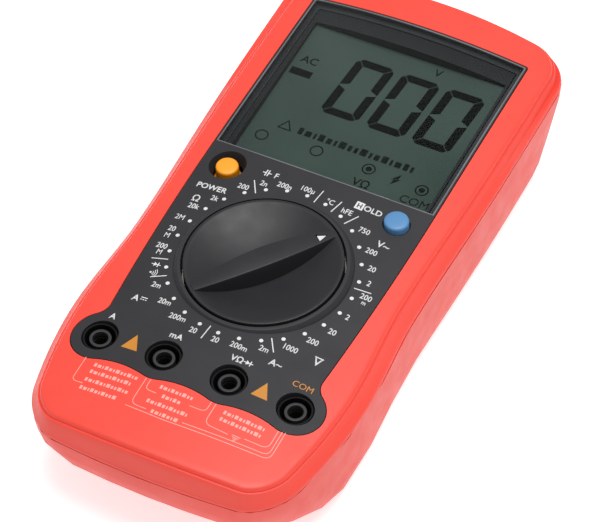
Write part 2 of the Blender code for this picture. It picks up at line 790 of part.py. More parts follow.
def make_rotor():
    place = (0, DIAL_Y, mm(24.3))
    profile = [
        (0.0, mm(6.1)),
        (mm(15.6), mm(6.1)),
        (mm(15.6), mm(3.2)),
        (mm(20.6), mm(3.2)),
        (mm(20.6), 0.0),
        (0.0, 0.0),
    ]
    rotor = turned("switch_rotor", "rotor_ivory", profile, place, 28)
    drive = cylinder("drive_hole", None, mm(3.95), (0, DIAL_Y, mm(20)), mm(15), segments=6)
    pocket = cylinder(
        "spring_pockets", None, mm(1.8), (mm(-16.5), DIAL_Y, DETENT_Z), mm(33), segments=14, axis="X"
    )
    core = cylinder("pocket_core", None, mm(8.6), (0, DIAL_Y, mm(24.0)), mm(6.4), segments=24)
    cut(pocket, core)
    cut(rotor, drive, bake(pocket))
    return smooth(bake(rotor), 30)


DETENT_Z = mm(29.0)


def make_detents():
    """Two steel balls in the rotor's pockets and the springs that push them outward."""
    made = []
    for side, name in ((1, "right"), (-1, "left")):
        work = bmesh.new()
        bmesh.ops.create_uvsphere(work, u_segments=12, v_segments=8, radius=mm(1.4))
        place = (side * mm(16.9), DIAL_Y, DETENT_Z)
        made.append(smooth(object_from_bmesh(f"detent_ball_{name}", work, "spring_steel", place), 60))
        turns, per_turn, start, end = 4, 6, mm(9.1), mm(15.0)
        route = []
        for i in range(turns * per_turn + 1):
            around = 2 * math.pi * i / per_turn
            along = start + (end - start) * i / (turns * per_turn)
            y = DIAL_Y + mm(1.1) * math.cos(around)
            route.append((side * along, y, DETENT_Z + mm(1.1) * math.sin(around)))
        made.append(wire(f"detent_spring_{name}", "spring_steel", route, mm(0.2)))
    return made


def make_detent_ring():
    """The fixed notched ring: a wave of one notch for each dial position round its inside."""
    per_notch = 3
    count = DIAL_POSITIONS * per_notch
    base = [2 * math.pi * i / count for i in range(count)]
    inner = [(mm(19.1) + mm(0.45) * math.cos(DIAL_POSITIONS * a), a) for a in base]
    hole = [(r * math.cos(a), DIAL_Y + r * math.sin(a)) for r, a in inner]
    base = (0, DIAL_Y, mm(27.9))
    ring = cylinder("detent_ring", "rotor_ivory", mm(23.6), base, mm(4.6), segments=40)
    skirt_space = cylinder("skirt_space", None, KNOB_HOLE, (0, DIAL_Y, mm(30.1)), mm(6), segments=40)
    combine(ring, dome_slab("ring_slab", PANEL_THICKNESS + GAP, mm(12)), "INTERSECT")
    cut(ring, skirt_space, outline_solid("detent_wave", None, hole, mm(25), mm(35)))
    return bake(ring)


def make_wipers():
    """Sprung contact strips under the rotor, each a shallow arch that slides on the board."""
    made = []
    for index in range(3):
        turn = math.radians(40 + 120 * index)
        reach = mm(9.0) + index * mm(3.4)
        half = mm(3.2)
        low = Vector((-half, mm(-0.9), PCB_TOP + GAP))
        high = Vector((half, mm(0.9), PCB_TOP + GAP + mm(0.3)))
        strip = box(f"switch_wiper_{index + 1}", "contact_brass", low, high)
        strip.location = (reach * math.cos(turn), DIAL_Y + reach * math.sin(turn), (low.z + high.z) / 2)
        strip.rotation_euler.z = turn + math.radians(90)
        made.append(strip)
    return made


# Buttons.


def button(name, material_name, x, radius, lift, foot):
    """A round cap that stands lift above the face, with a flange that keeps it in and a foot below."""
    surface = face_height(BUTTON_X, BUTTON_Y)
    shoulder = mm(-6.2)
    profile = [
        (0.0, lift),
        (radius * 0.67, lift - mm(0.13)),
        (radius * 0.92, lift - mm(0.5)),
        (radius, lift - mm(1.05)),
        (radius, shoulder),
        (mm(4.6), shoulder),
        (mm(4.6), shoulder - mm(0.9)),
        (mm(1.5), shoulder - mm(0.9)),
        (mm(1.5), foot),
        (0.0, foot),
    ]
    return smooth(turned(name, material_name, profile, (x, BUTTON_Y, surface), 20))


def make_buttons():
    surface = face_height(BUTTON_X, BUTTON_Y)
    power = button("power_button", "button_yellow", -BUTTON_X, mm(3.25), mm(-0.1), mm(-7.4))
    button("hold_button", "button_blue", BUTTON_X, mm(3.5), mm(2.0), mm(-8.2))
    plunger = box(
        "power_plunger",
        "rotor_ivory",
        (-BUTTON_X - mm(1.4), BUTTON_Y - mm(1.4), mm(24.9)),
        (-BUTTON_X + mm(1.4), BUTTON_Y + mm(1.4), surface - mm(7.7)),
    )
    attach(power, plunger)
    switch = box(
        "power_switch",
        "switch_black",
        (-BUTTON_X - mm(3.8), BUTTON_Y - mm(3.8), PCB_TOP + GAP),
        (-BUTTON_X + mm(3.8), BUTTON_Y + mm(3.8), mm(25.3)),
    )
    slot = box(
        "plunger_slot",
        None,
        (-BUTTON_X - mm(1.8), BUTTON_Y - mm(1.8), mm(20)),
        (-BUTTON_X + mm(1.8), BUTTON_Y + mm(1.8), mm(30)),
    )
    cut(switch, slot)
    bake(switch)
    box(
        "hold_switch",
        "switch_black",
        (BUTTON_X - mm(3), BUTTON_Y - mm(3), PCB_TOP + GAP),
        (BUTTON_X + mm(3), BUTTON_Y + mm(3), mm(24.9)),
    )


# Input sockets.


def jack_places():
    return [(name, (index - 1.5) * JACK_PITCH) for index, name in enumerate(JACK_NAMES)]


def make_jacks():
    for name, x in jack_places():
        surface = face_height(x, JACK_Y)
        base = PCB_TOP + GAP
        lip, ring = surface - mm(0.8) - base, surface - mm(1.2) - base
        shroud = [
            (mm(4.7), lip),
            (mm(4.7), 0.0),
            (mm(2.6), 0.0),
            (mm(2.6), ring - mm(2.1)),
            (mm(2.1), ring - mm(2.1)),
            (mm(2.1), ring),
            (mm(2.95), ring),
            (mm(2.95), mm(1.6)),
            (mm(4.1), mm(1.6)),
            (mm(4.1), lip),
        ]
        smooth(turned(f"jack_sleeve_{name}", "jack_black", shroud, (x, JACK_Y, base), 16, closed=True))
        tube = [
            (mm(2.3), ring - mm(2.4)),
            (mm(2.3), mm(0.4)),
            (mm(2.0), mm(0.4)),
            (mm(2.0), ring - mm(2.4)),
        ]
        smooth(turned(f"jack_contact_{name}", "contact_brass", tube, (x, JACK_Y, base), 14, closed=True))


# Circuit board and what it carries.


def make_board():
    board = box(
        "main_board",
        "board_green",
        (-PCB_HALF, PCB_Y[0], PCB_TOP - PCB_THICKNESS),
        (PCB_HALF, PCB_Y[1], PCB_TOP),
    )
    for index, (x, y) in enumerate(BOARD_SCREWS):
        base = (x, y, mm(15))
        cut(board, cylinder(f"board_hole_{index}", None, mm(1.6), base, mm(15), segments=12))
    bake(board)
    box("processor_chip", "chip_black", mm(-7, 34, 23.4), mm(7, 48, 25.0), bevel=mm(0.3))
    box("trimmer", "button_blue", mm(15, -50.5, 23.4), mm(19.5, -46, 26.4), bevel=mm(0.3))
    cylinder("buzzer", "contact_brass", mm(9.5), mm(21, 56, 17.4), mm(3.8), segments=28)


def make_fuse():
    y, z = mm(-24.5, 16.6)
    cylinder("fuse_tube", "fuse_glass", mm(2.3), (mm(-4.4), y, z), mm(8.8), segments=16, axis="X")
    for side, name in ((-1, "left"), (1, "right")):
        start = mm(-9.9) if side < 0 else mm(4.7)
        cylinder(f"fuse_cap_{name}", "spring_steel", mm(2.6), (start, y, z), mm(5.2), segments=16, axis="X")
        middle = side * mm(7.3)
        clip = box(
            f"fuse_clip_{name}",
            "contact_brass",
            (middle - mm(1.8), y - mm(3.6), z - mm(1.2)),
            (middle + mm(1.8), y + mm(3.6), PCB_TOP - PCB_THICKNESS - GAP),
        )
        seat_start = (middle - mm(3), y, z)
        seat = cylinder(f"clip_seat_{side}", None, mm(2.9), seat_start, mm(6), segments=16, axis="X")
        mouth = box(
            f"clip_mouth_{side}",
            None,
            (middle - mm(3), y - mm(2.3), z - mm(3)),
            (middle + mm(3), y + mm(2.3), z),
        )
        cut(clip, seat, mouth)
        bake(clip)


def make_shunt():
    """The high-current shunt: a thick wire arched over the board beside the amps socket."""
    y, foot, rise, half, bend = mm(-48.3, 23.4, 3.6, 6.5, 2.0)
    middle = mm(-19)
    route = [(middle - half, y, foot)]
    for x, z in arc((-half + bend, rise - bend), bend, 180, 90, 4):
        route.append((middle + x, y, foot + z))
    for x, z in arc((half - bend, rise - bend), bend, 90, 0, 4):
        route.append((middle + x, y, foot + z))
    route.append((middle + half, y, foot))
    wire("shunt_wire", "shunt_alloy", route, mm(0.8))


# Battery and its door.


def make_battery():
    low, high = mm(-26.2, -65.6, 2.9), mm(20.8, -39.6, 20.2)
    box("battery", "battery_jacket", low, high, bevel=mm(1.2))
    middle_z = (low[2] + high[2]) / 2
    middle_y = (low[1] + high[1]) / 2
    offsets = (("positive", -6.35, 2.9), ("negative", 6.35, 3.6))
    for name, offset, radius in offsets:
        start = (high[0] + GAP, middle_y + mm(offset), middle_z)
        terminal = f"battery_terminal_{name}"
        cylinder(terminal, "spring_steel", mm(radius), start, mm(1.6), segments=14, axis="X")
    snap_low = (high[0] + mm(2.2), middle_y - mm(11.5), middle_z - mm(5))
    snap_high = (high[0] + mm(5.2), middle_y + mm(11.5), middle_z + mm(5))
    box("battery_snap", "chip_black", snap_low, snap_high, bevel=mm(0.8))
    for name, offset in (("red", -1.6), ("black", 1.6)):
        y = mm(-51) + mm(offset)
        x = snap_high[0] + GAP
        start = Vector((x, y, middle_z + mm(2)))
        end = Vector((mm(32.8), y, PCB_TOP - PCB_THICKNESS - GAP))
        pull = (Vector(mm(4.0, 0, 0)), Vector(mm(0, 0, -5.0)))
        route = bezier(start, start + pull[0], end + pull[1], end, 8)
        wire(f"battery_lead_{name}", f"lead_{name}", route, mm(0.65))


def bezier(a, b, c, d, count):
    """Points on a cubic curve from a to d."""
    points = []
    for i in range(count + 1):
        t = i / count
        s = 1 - t
        points.append(a * s**3 + b * 3 * s * s * t + c * 3 * s * t * t + d * t**3)
    return points


def make_battery_door():
    low = (-DOOR_HALF, DOOR_Y[0], GAP)
    high = (DOOR_HALF, DOOR_Y[1], mm(2.5))
    door = box("battery_door", "case_red", low, high, bevel=mm(0.8))
    screw_place = (0, DOOR_SCREW_Y, mm(-2))
    cut(door, cylinder("door_hole", None, mm(1.5), screw_place, mm(8), segments=12))
    cut(door, cylinder("door_sink", None, mm(3.1), screw_place, mm(3.4), segments=20))
    for index in range(4):
        y = DOOR_Y[0] + mm(6 + index * 2.4)
        groove = box(f"door_grip_{index}", None, (mm(-9), y, mm(-1)), (mm(9), y + mm(1.0), mm(0.8)))
        cut(door, groove)
    bake(door)


def make_screws():
    """Each screw has its origin under its head, and a cross slot in the head."""
    for index, (x, y) in enumerate(CASE_SCREWS):
        screw(f"case_screw_{index + 1}", (x, y, CASE_SCREW_Z), mm(2.7), mm(1.2), mm(12.4))
    for index, (x, y) in enumerate(BOARD_SCREWS):
        screw(f"board_screw_{index + 1}", (x, y, mm(19.4)), mm(2.4), mm(1.0), mm(7.6))
    screw("door_screw", (0, DOOR_SCREW_Y, mm(0.4)), mm(2.7), mm(1.1), mm(6.6), head=mm(0.8))


def screw(name, place, head_radius, shank_radius, length, head=SCREW_HEAD):
    profile = [
        (0.0, length),
        (shank_radius * 0.6, length),
        (shank_radius, length - mm(0.8)),
        (shank_radius, head),
        (head_radius, head),
        (head_radius, mm(0.25)),
        (head_radius - mm(0.4), 0.0),
        (0.0, 0.0),
    ]
    made = turned(name, "screw_steel", profile, place, 12)
    x, y, z = place
    arm, half = head_radius * 0.65, mm(0.32)
    depth = head * 0.55
    cross = box(f"{name}_slot_x", None, (x - arm, y - half, z - mm(1)), (x + arm, y + half, z + depth))
    other = box(f"{name}_slot_y", None, (x - half, y - arm, z - mm(1)), (x + half, y + arm, z + depth))
    cut(made, cross, other)
    return smooth(bake(made), 30)


# Tilt stand.


def make_stand():
    plate = box(
        "tilt_stand",
        "case_red",
        (-STAND_HALF, STAND_FOOT_Y, STAND_CLEAR),
        (STAND_HALF, STAND_HINGE_Y, STAND_CLEAR + STAND_THICKNESS),
        bevel=mm(0.5),
    )
    start = (-STAND_HALF, STAND_HINGE_Y, STAND_HINGE_Z)
    pin = (-STAND_HALF - mm(2.1), STAND_HINGE_Y, STAND_HINGE_Z)
    knuckle = cylinder("stand_knuckle", None, KNUCKLE_RADIUS, start, 2 * STAND_HALF, segments=20, axis="X")
    pins = cylinder(
        "stand_pins", None, mm(1.2), pin, 2 * (STAND_HALF + mm(2.1)), segments=16, axis="X"
    )
    join(plate, knuckle, pins)
    for side in (-1, 1):
        x = side * mm(9.5)
        hollow = box(
            f"stand_hollow_{side}",
            None,
            (x - mm(6.5), STAND_FOOT_Y + mm(8), mm(-1)),
            (x + mm(6.5), STAND_HINGE_Y - mm(9), STAND_CLEAR + mm(1.1)),
        )
        cut(plate, hollow)
    bake(plate)
    attach(axis_empty("stand_axis", (0, STAND_HINGE_Y, STAND_HINGE_Z)), plate)


def main():
    global MODEL, HELPERS
    clear_scene()
    MODEL = new_collection("handheld_multimeter")
    HELPERS = new_collection("cutters")
    make_materials()
    make_front_case()
    make_rear_case()
    make_front_panel()
    make_display()
    make_selector()
    make_buttons()
    make_jacks()
    make_board()
    make_fuse()
    make_shunt()
    make_battery()
    make_battery_door()
    make_screws()
    make_stand()


main()
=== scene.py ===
"""The looks of the handheld multimeter: fine surfaces, print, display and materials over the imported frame.

Metres, +Z up, in the row's frame: the flat back at Z = 0, +Y towards the display. Places on the face are
often given from the dial's centre, in millimetres, as a draughtsman would set out the scale.
"""

import math

import bmesh
import bpy
from mathutils import Matrix, Quaternion, Vector


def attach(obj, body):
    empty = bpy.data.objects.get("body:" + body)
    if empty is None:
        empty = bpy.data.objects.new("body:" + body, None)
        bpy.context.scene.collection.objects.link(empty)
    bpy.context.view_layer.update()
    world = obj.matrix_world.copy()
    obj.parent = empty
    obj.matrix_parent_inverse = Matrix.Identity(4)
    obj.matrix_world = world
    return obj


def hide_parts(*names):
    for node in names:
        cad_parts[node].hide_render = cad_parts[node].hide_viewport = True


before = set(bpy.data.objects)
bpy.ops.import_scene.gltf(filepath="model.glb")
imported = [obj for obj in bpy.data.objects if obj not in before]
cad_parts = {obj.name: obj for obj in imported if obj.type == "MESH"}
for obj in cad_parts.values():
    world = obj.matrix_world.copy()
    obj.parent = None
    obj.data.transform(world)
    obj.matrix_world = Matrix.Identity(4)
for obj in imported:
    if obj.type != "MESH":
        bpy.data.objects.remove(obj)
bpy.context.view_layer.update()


def mm(*values):
    """Millimetres as metres: a number, or a tuple of them."""
    scaled = tuple(value * 0.001 for value in values)
    return scaled[0] if len(scaled) == 1 else scaled


HALF_LENGTH = mm(90.1)
HALF_WIDTH = mm(43.4)
PANEL_TOP = mm(36.0)
PARTING = mm(27.0)
WALL = mm(2.2)
GAP = mm(0.3)
DOME_ACROSS = 2.29
DOME_ALONG = 0.17
END_ARC = 1.8
END_ARC_REACH = mm(40)
WAIST_Y = mm(-17)
WAIST_DEPTH = mm(1.9)
WAIST_REACH_UP = mm(42)
WAIST_REACH_DOWN = mm(22)
TAPER_START = mm(-45)
TAPER_RATE = 3.8

DIAL_Y = mm(-19.9)
DIAL_POSITIONS = 28
POINTER_STEPS = 3
DOT_RADIUS = mm(25.94)
JACK_PITCH = mm(19.05)
JACK_Y = mm(-58.2)
JACK_NAMES = ("amps", "milliamps", "volts_ohms", "common")
BUTTON_X = mm(25.6)
BUTTON_Y = mm(8.1)

PANEL_TOP_Y = mm(77.4)
PANEL_THICKNESS = mm(3.6)
PANEL_HALF = mm(33.3)
PANEL_PINCH = mm(2.3)
PANEL_PINCH_FROM = mm(16)
NECK_Y = mm(-47.8)
LOBE_RADIUS = mm(7.8)
NECK_FILLET = mm(5.0)
SCALLOP_TOP_Y = mm(-64.7)
WINDOW_HALF = mm(32.8)
WINDOW_TOP_Y = mm(77.0)
WINDOW_BOTTOM_Y = mm(14.0)
WINDOW_BOTTOM_ARC = mm(1.8)
LENS_THICKNESS = mm(1.5)
LEDGE_WIDTH = mm(1.5)
LEDGE_WIDTH_BOTTOM = mm(1.1)
LCD_TOP = mm(29.55)

KNOB_RADIUS = mm(21.5)
KNOB_HOLE = mm(22.1)
KNOB_RIM = mm(0.9)
KNOB_RIM_WIDTH = mm(0.9)
DISH_DEPTH = mm(4.2)
BAR_HALF_LENGTH = mm(21.0)
BAR_CROWN = mm(1.8)
BAR_TIP_HALF = mm(1.1)
BAR_BULGE = mm(2.25)
COLLAR_HEIGHT = mm(0.5)
COLLAR_OUTER = mm(24.4)

SOFT_ANGLE = math.radians(32)
WELD_DISTANCE = mm(0.002)
FLOOR_GLOW = 0.62
LENS_SHEEN = 0.004
LENS_SHEEN_GRAZING = 0.5


# Materials. Most are a Principled shader with its grain, its mottling and its wear worked out from noise; the clear
# lens mixes a see-through shader with a glossy one.


class Graph:
    """A short way to lay out a material's nodes."""

    def __init__(self, name):
        self.material = bpy.data.materials.new(name)
        self.material.use_nodes = True
        self.tree = self.material.node_tree
        self.shader = self.tree.nodes["Principled BSDF"]
        self.coordinates = self.tree.nodes.new("ShaderNodeTexCoord").outputs["Object"]

    def node(self, kind, **settings):
        made = self.tree.nodes.new(kind)
        for key, value in settings.items():
            setattr(made, key, value)
        return made

    def link(self, source, target):
        self.tree.links.new(source, target)

    def noise(self, scale, detail=3.0, stretch=None):
        made = self.node("ShaderNodeTexNoise")
        made.inputs["Scale"].default_value = scale
        made.inputs["Detail"].default_value = detail
        source = self.coordinates
        if stretch:
            mapping = self.node("ShaderNodeMapping")
            mapping.inputs["Scale"].default_value = stretch
            self.link(source, mapping.inputs["Vector"])
            source = mapping.outputs["Vector"]
        self.link(source, made.inputs["Vector"])
        return made.outputs["Fac"]

    def ramp(self, factor, low, high, start=0.35, end=0.65):
        made = self.node("ShaderNodeValToRGB")
        first, last = made.color_ramp.elements
        first.position, last.position = start, end
        first.color, last.color = (*low, 1), (*high, 1)
        self.link(factor, made.inputs["Fac"])
        return made.outputs["Color"]

    def span(self, factor, low, high, start=0.3, end=0.7):
        made = self.node("ShaderNodeMapRange")
        made.inputs["From Min"].default_value = start
        made.inputs["From Max"].default_value = end
        made.inputs["To Min"].default_value = low
        made.inputs["To Max"].default_value = high
        self.link(factor, made.inputs["Value"])
        return made.outputs["Result"]

    def bump(self, height, strength, distance):
        made = self.node("ShaderNodeBump")
        made.inputs["Strength"].default_value = strength
        made.inputs["Distance"].default_value = distance
        self.link(height, made.inputs["Height"])
        self.link(made.outputs["Normal"], self.shader.inputs["Normal"])


def srgb(red, green, blue):
    """Display values from 0 to 255 as linear light."""

    def linear(value):
        share = value / 255
        return share / 12.92 if share <= 0.04045 else ((share + 0.055) / 1.055) ** 2.4

    return tuple(linear(value) for value in (red, green, blue))


def tinted(color, factor):
    return tuple(min(1.0, channel * factor) for channel in color)


def surface(
    name, color, roughness, metallic=0.0, grain=2200, relief=0.15, mottle=0.05, shine=0.5, stretch=None
):
    """A moulded or drawn surface: fine relief, patches of slightly different tone, uneven polish."""
    graph = Graph(name)
    shader = graph.shader
    shader.inputs["Metallic"].default_value = metallic
    shader.inputs["Specular IOR Level"].default_value = shine
    patches = graph.noise(60, 4.0)
    tone = graph.ramp(patches, tinted(color, 1 - mottle), tinted(color, 1 + mottle))
    graph.link(tone, shader.inputs["Base Color"])
    rubbed = graph.noise(170, 5.0)
    graph.link(graph.span(rubbed, roughness * 0.88, roughness * 1.14), shader.inputs["Roughness"])
    graph.bump(graph.noise(grain, 2.0, stretch), relief, mm(0.05))
    return graph.material


def clear_window(name):
    """A clear moulded lens: mostly see-through, with a sheen that grows at grazing angles."""
    graph = Graph(name)
    tree = graph.tree
    see_through = graph.node("ShaderNodeBsdfTransparent")
    tint = graph.noise(25, 3.0)
    graph.link(graph.ramp(tint, (0.9, 0.93, 0.92), (0.96, 0.98, 0.97)), see_through.inputs["Color"])
    gloss = graph.node("ShaderNodeBsdfGlossy")
    smears = graph.noise(120, 5.0)
    graph.link(graph.span(smears, 0.04, 0.1), gloss.inputs["Roughness"])
    slant = graph.node("ShaderNodeLayerWeight")
    slant.inputs["Blend"].default_value = 0.5
    grazing = graph.node("ShaderNodeMath", operation="POWER")
    grazing.inputs[1].default_value = 3.0
    graph.link(slant.outputs["Facing"], grazing.inputs[0])
    sheen = graph.node("ShaderNodeMath", operation="MULTIPLY_ADD")
    sheen.inputs[1].default_value = LENS_SHEEN_GRAZING
    sheen.inputs[2].default_value = LENS_SHEEN
    graph.link(grazing.outputs["Value"], sheen.inputs[0])
    blend = graph.node("ShaderNodeMixShader")
    graph.link(sheen.outputs["Value"], blend.inputs["Fac"])
    graph.link(see_through.outputs["BSDF"], blend.inputs[1])
    graph.link(gloss.outputs["BSDF"], blend.inputs[2])
    output = tree.nodes["Material Output"]
    graph.link(blend.outputs["Shader"], output.inputs["Surface"])
    tree.nodes.remove(graph.shader)
    return graph.material


CASE_RED = srgb(223, 68, 55)
PANEL_GREY = srgb(43, 43, 46)
LCD_TONE = srgb(56, 68, 64)

LOOKS = {
    "case_red": surface("case_red_plastic", CASE_RED, 0.42, grain=1900, relief=0.12, mottle=0.02, shine=0.35),
    "rear_red": surface("rear_red_plastic", srgb(216, 64, 52), 0.46, grain=1900, mottle=0.03, shine=0.35),
    "panel_grey": surface("panel_grey_plastic", PANEL_GREY, 0.5, grain=3000, mottle=0.06, shine=0.22),
    "bezel_black": surface("bezel_black_plastic", srgb(26, 26, 29), 0.45, grain=1500, relief=0.01, shine=0.2),
    # The pale rim round the lens is a painted highlight: a light grey that stands for the light its rounded edge
    # catches.
    "lens_edge": surface("lens_edge_acrylic", srgb(100, 101, 104), 0.3, grain=1500, relief=0.05, mottle=0.15),
    "lcd_green": surface("lcd_reflector", LCD_TONE, 0.6, grain=4200, relief=0.01, shine=0.1),
    "lcd_ink": surface("lcd_segment_dark", srgb(5, 9, 8), 0.6, grain=4200, relief=0.01, mottle=0.2, shine=0.02),
    "lcd_faint": surface("lcd_segment_faint", srgb(15, 22, 21), 0.6, grain=4200, relief=0.01, mottle=0.2, shine=0.02),
    "elastomer": surface("strip_elastomer", srgb(40, 40, 42), 0.8),
    "knob_grey": surface("knob_grey_plastic", srgb(36, 36, 38), 0.4, grain=2600, mottle=0.06, shine=0.25),
    "print_white": surface("print_white_ink", srgb(200, 200, 200), 0.55, grain=5000, relief=0.1),
    "print_orange": surface("print_orange_ink", srgb(186, 118, 18), 0.55, grain=5000, relief=0.1),
    "print_pale": surface("print_pale_ink", srgb(226, 150, 140), 0.55, grain=5000, relief=0.1),
    "rotor_ivory": surface("rotor_ivory_plastic", srgb(216, 210, 192), 0.5),
    "spring_steel": surface("spring_steel_metal", srgb(190, 190, 190), 0.3, 1.0, relief=0.05),
    # The socket contacts get a near-black colour instead of their brass: painted shade for the dark inside the bores.
    "contact_metal": surface("contact_in_shadow", srgb(30, 28, 26), 0.5, 0.3, relief=0.06, mottle=0.12, shine=0.2),
    "contact_brass": surface("contact_brass_metal", srgb(214, 178, 104), 0.3, 1.0, relief=0.06, mottle=0.1),
    "button_yellow": surface("button_yellow_rubber", srgb(236, 148, 16), 0.45, relief=0.1, mottle=0.04),
    "button_blue": surface("button_blue_rubber", srgb(74, 124, 170), 0.45, relief=0.1, mottle=0.04),
    "switch_black": surface("switch_black_plastic", srgb(30, 30, 30), 0.5),
    "jack_black": surface("jack_black_plastic", srgb(12, 12, 13), 0.5, grain=2600, mottle=0.1, shine=0.12),
    "jack_ring": surface("jack_ring_plastic", srgb(44, 44, 46), 0.4, grain=2600, mottle=0.1, shine=0.3),
    "board_green": surface("board_solder_mask", srgb(28, 96, 48), 0.35, mottle=0.15),
    "chip_black": surface("chip_black_epoxy", srgb(34, 34, 36), 0.55),
    "fuse_glass": surface("fuse_tube_glass", srgb(200, 210, 210), 0.12, relief=0.02),
    "shunt_alloy": surface("shunt_alloy_wire", srgb(180, 140, 110), 0.3, 1.0, stretch=(40, 1, 1)),
    "battery_jacket": surface("battery_jacket_print", srgb(40, 46, 66), 0.3, 0.2, relief=0.04),
    "lead_red": surface("lead_red_sheath", srgb(176, 28, 28), 0.45),
    "lead_black": surface("lead_black_sheath", srgb(28, 28, 28), 0.45),
    "screw_steel": surface("screw_zinc_plate", srgb(168, 168, 172), 0.34, 1.0, relief=0.08, mottle=0.12),
    "window_clear": clear_window("window_clear_acrylic"),
}


def paint(obj, look):
    obj.data.materials.clear()
    obj.data.materials.append(LOOKS[look])
    return obj


# Making meshes.


def keep(obj, body, look, slot, *nodes):
    """Puts a finished piece in the model: its look, its body and the frame nodes it stands for."""
    for holder in list(obj.users_collection):
        holder.objects.unlink(obj)
    bpy.context.scene.collection.objects.link(obj)
    paint(obj, look)
    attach(obj, body)
    if nodes:
        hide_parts(*nodes)
    return obj


def from_bmesh(name, work):
    bmesh.ops.recalc_face_normals(work, faces=work.faces)
    mesh = bpy.data.meshes.new(name)
    work.to_mesh(mesh)
    work.free()
    obj = bpy.data.objects.new(name, mesh)
    bpy.context.scene.collection.objects.link(obj)
    return obj


def smooth(obj, angle=SOFT_ANGLE):
    obj.data.shade_smooth()
    obj.data.set_sharp_from_angle(angle=angle)
    return obj


def merge_slivers(obj, distance=mm(0.03)):
    """Joins points that a Boolean left a hair apart, which would dent the shading."""
    work = bmesh.new()
    work.from_mesh(obj.data)
    bmesh.ops.remove_doubles(work, verts=work.verts, dist=distance)
    bmesh.ops.dissolve_degenerate(work, dist=distance / 2, edges=work.edges)
    work.to_mesh(obj.data)
    work.free()
    return obj


def level(obj):
    """Evens out the shading of large faces beside small ones."""
    weighted = obj.modifiers.new("level", "WEIGHTED_NORMAL")
    weighted.keep_sharp = True
    return obj


def round_shading(obj):
    """Smooth shading with crisp edges on a frame mesh, whose triangles come unjoined; its points stay put."""
    obj.data.shade_smooth()
    joined = obj.modifiers.new("joined", "WELD")
    joined.merge_threshold = WELD_DISTANCE
    edges = obj.modifiers.new("edges", "EDGE_SPLIT")
    edges.split_angle = SOFT_ANGLE
    edges.use_edge_sharp = False
    return level(obj)


def bake(obj):
    """Replaces the object's mesh by its evaluated one and drops its modifiers."""
    bpy.context.view_layer.update()
    graph = bpy.context.evaluated_depsgraph_get()
    mesh = bpy.data.meshes.new_from_object(obj.evaluated_get(graph))
    obj.modifiers.clear()
    obj.data = mesh
    return obj


def combine(obj, other, operation):
    """A Boolean whose second object is used up."""
    step = obj.modifiers.new(operation.lower(), "BOOLEAN")
    step.object = other
    step.operation = operation
    step.solver = "MANIFOLD"
    bake(obj)
    bpy.data.objects.remove(other, do_unlink=True)
    return obj


def soften(obj, width, segments=2, angle=40):
    rounding = obj.modifiers.new("rounding", "BEVEL")
    rounding.width = width
    rounding.segments = segments
    rounding.limit_method = "ANGLE"
    rounding.angle_limit = math.radians(angle)
    rounding.harden_normals = False
    return obj


def arc(centre, radius, start, end, count):
    """Points on an arc, its angles in degrees."""
    angles = [math.radians(start + (end - start) * i / count) for i in range(count + 1)]
    return [(centre[0] + radius * math.cos(a), centre[1] + radius * math.sin(a)) for a in angles]


def mirrored(right_side):
    """A closed outline from its right half, listed from top to bottom."""
    return right_side + [(-x, y) for x, y in reversed(right_side) if x > 0]


def outline_solid(name, points, low, high):
    """A flat outline made solid between two heights."""
    curve = bpy.data.curves.new(name, "CURVE")
    curve.dimensions = "2D"
    curve.fill_mode = "BOTH"
    curve.extrude = (high - low) / 2
    spline = curve.splines.new("POLY")
    spline.points.add(len(points) - 1)
    for target, (x, y) in zip(spline.points, points):
        target.co = (x, y, 0, 1)
    spline.use_cyclic_u = True
    drawn = bpy.data.objects.new(name + "_outline", curve)
    bpy.context.scene.collection.objects.link(drawn)
    bpy.context.view_layer.update()
    graph = bpy.context.evaluated_depsgraph_get()
    mesh = bpy.data.meshes.new_from_object(drawn.evaluated_get(graph))
    bpy.data.objects.remove(drawn, do_unlink=True)
    work = bmesh.new()
    work.from_mesh(mesh)
    bmesh.ops.remove_doubles(work, verts=work.verts, dist=1e-6)
    bmesh.ops.translate(work, vec=(0, 0, (low + high) / 2), verts=work.verts)
    return from_bmesh(name, work)


def cylinder(name, radius, base, height, top_radius=None, segments=96):
    work = bmesh.new()
    bmesh.ops.create_cone(
        work,
        cap_ends=True,
        segments=segments,
        radius1=radius,
        radius2=radius if top_radius is None else top_radius,
        depth=height,
    )
    lift = Vector(base) + Vector((0, 0, height / 2))
    bmesh.ops.translate(work, vec=lift, verts=work.verts)
    return from_bmesh(name, work)


def turned(name, profile, place, steps=96, closed=False):
    """A solid of revolution from (radius, height) points down its outer side."""
    mesh = bpy.data.meshes.new(name)
    points = [(radius, 0.0, height) for radius, height in profile]
    edges = [(i, i + 1) for i in range(len(points) - 1)]
    if closed:
        edges.append((len(points) - 1, 0))
    mesh.from_pydata(points, edges, [])
    obj = bpy.data.objects.new(name, mesh)
    bpy.context.scene.collection.objects.link(obj)
    spin = obj.modifiers.new("turn", "SCREW")
    spin.axis = "Z"
    spin.steps = steps
    spin.render_steps = steps
    spin.use_merge_vertices = True
    spin.merge_threshold = 1e-6
    spin.use_smooth_shade = False
    bake(obj)
    obj.data.transform(Matrix.Translation(place))
    return obj


def rounded(profile, radius, steps=3):
    """A profile with each inner corner replaced by a short curve."""
    made = [profile[0]]
    for before, corner, after in zip(profile, profile[1:], profile[2:]):
        here = Vector(corner)
        back, ahead = Vector(before) - here, Vector(after) - here
        reach = min(radius, back.length * 0.45, ahead.length * 0.45)
        start, end = here + back.normalized() * reach, here + ahead.normalized() * reach
        for i in range(steps + 1):
            t = i / steps
            made.append(tuple(start * (1 - t) ** 2 + here * 2 * t * (1 - t) + end * t * t))
    made.append(profile[-1])
    return made


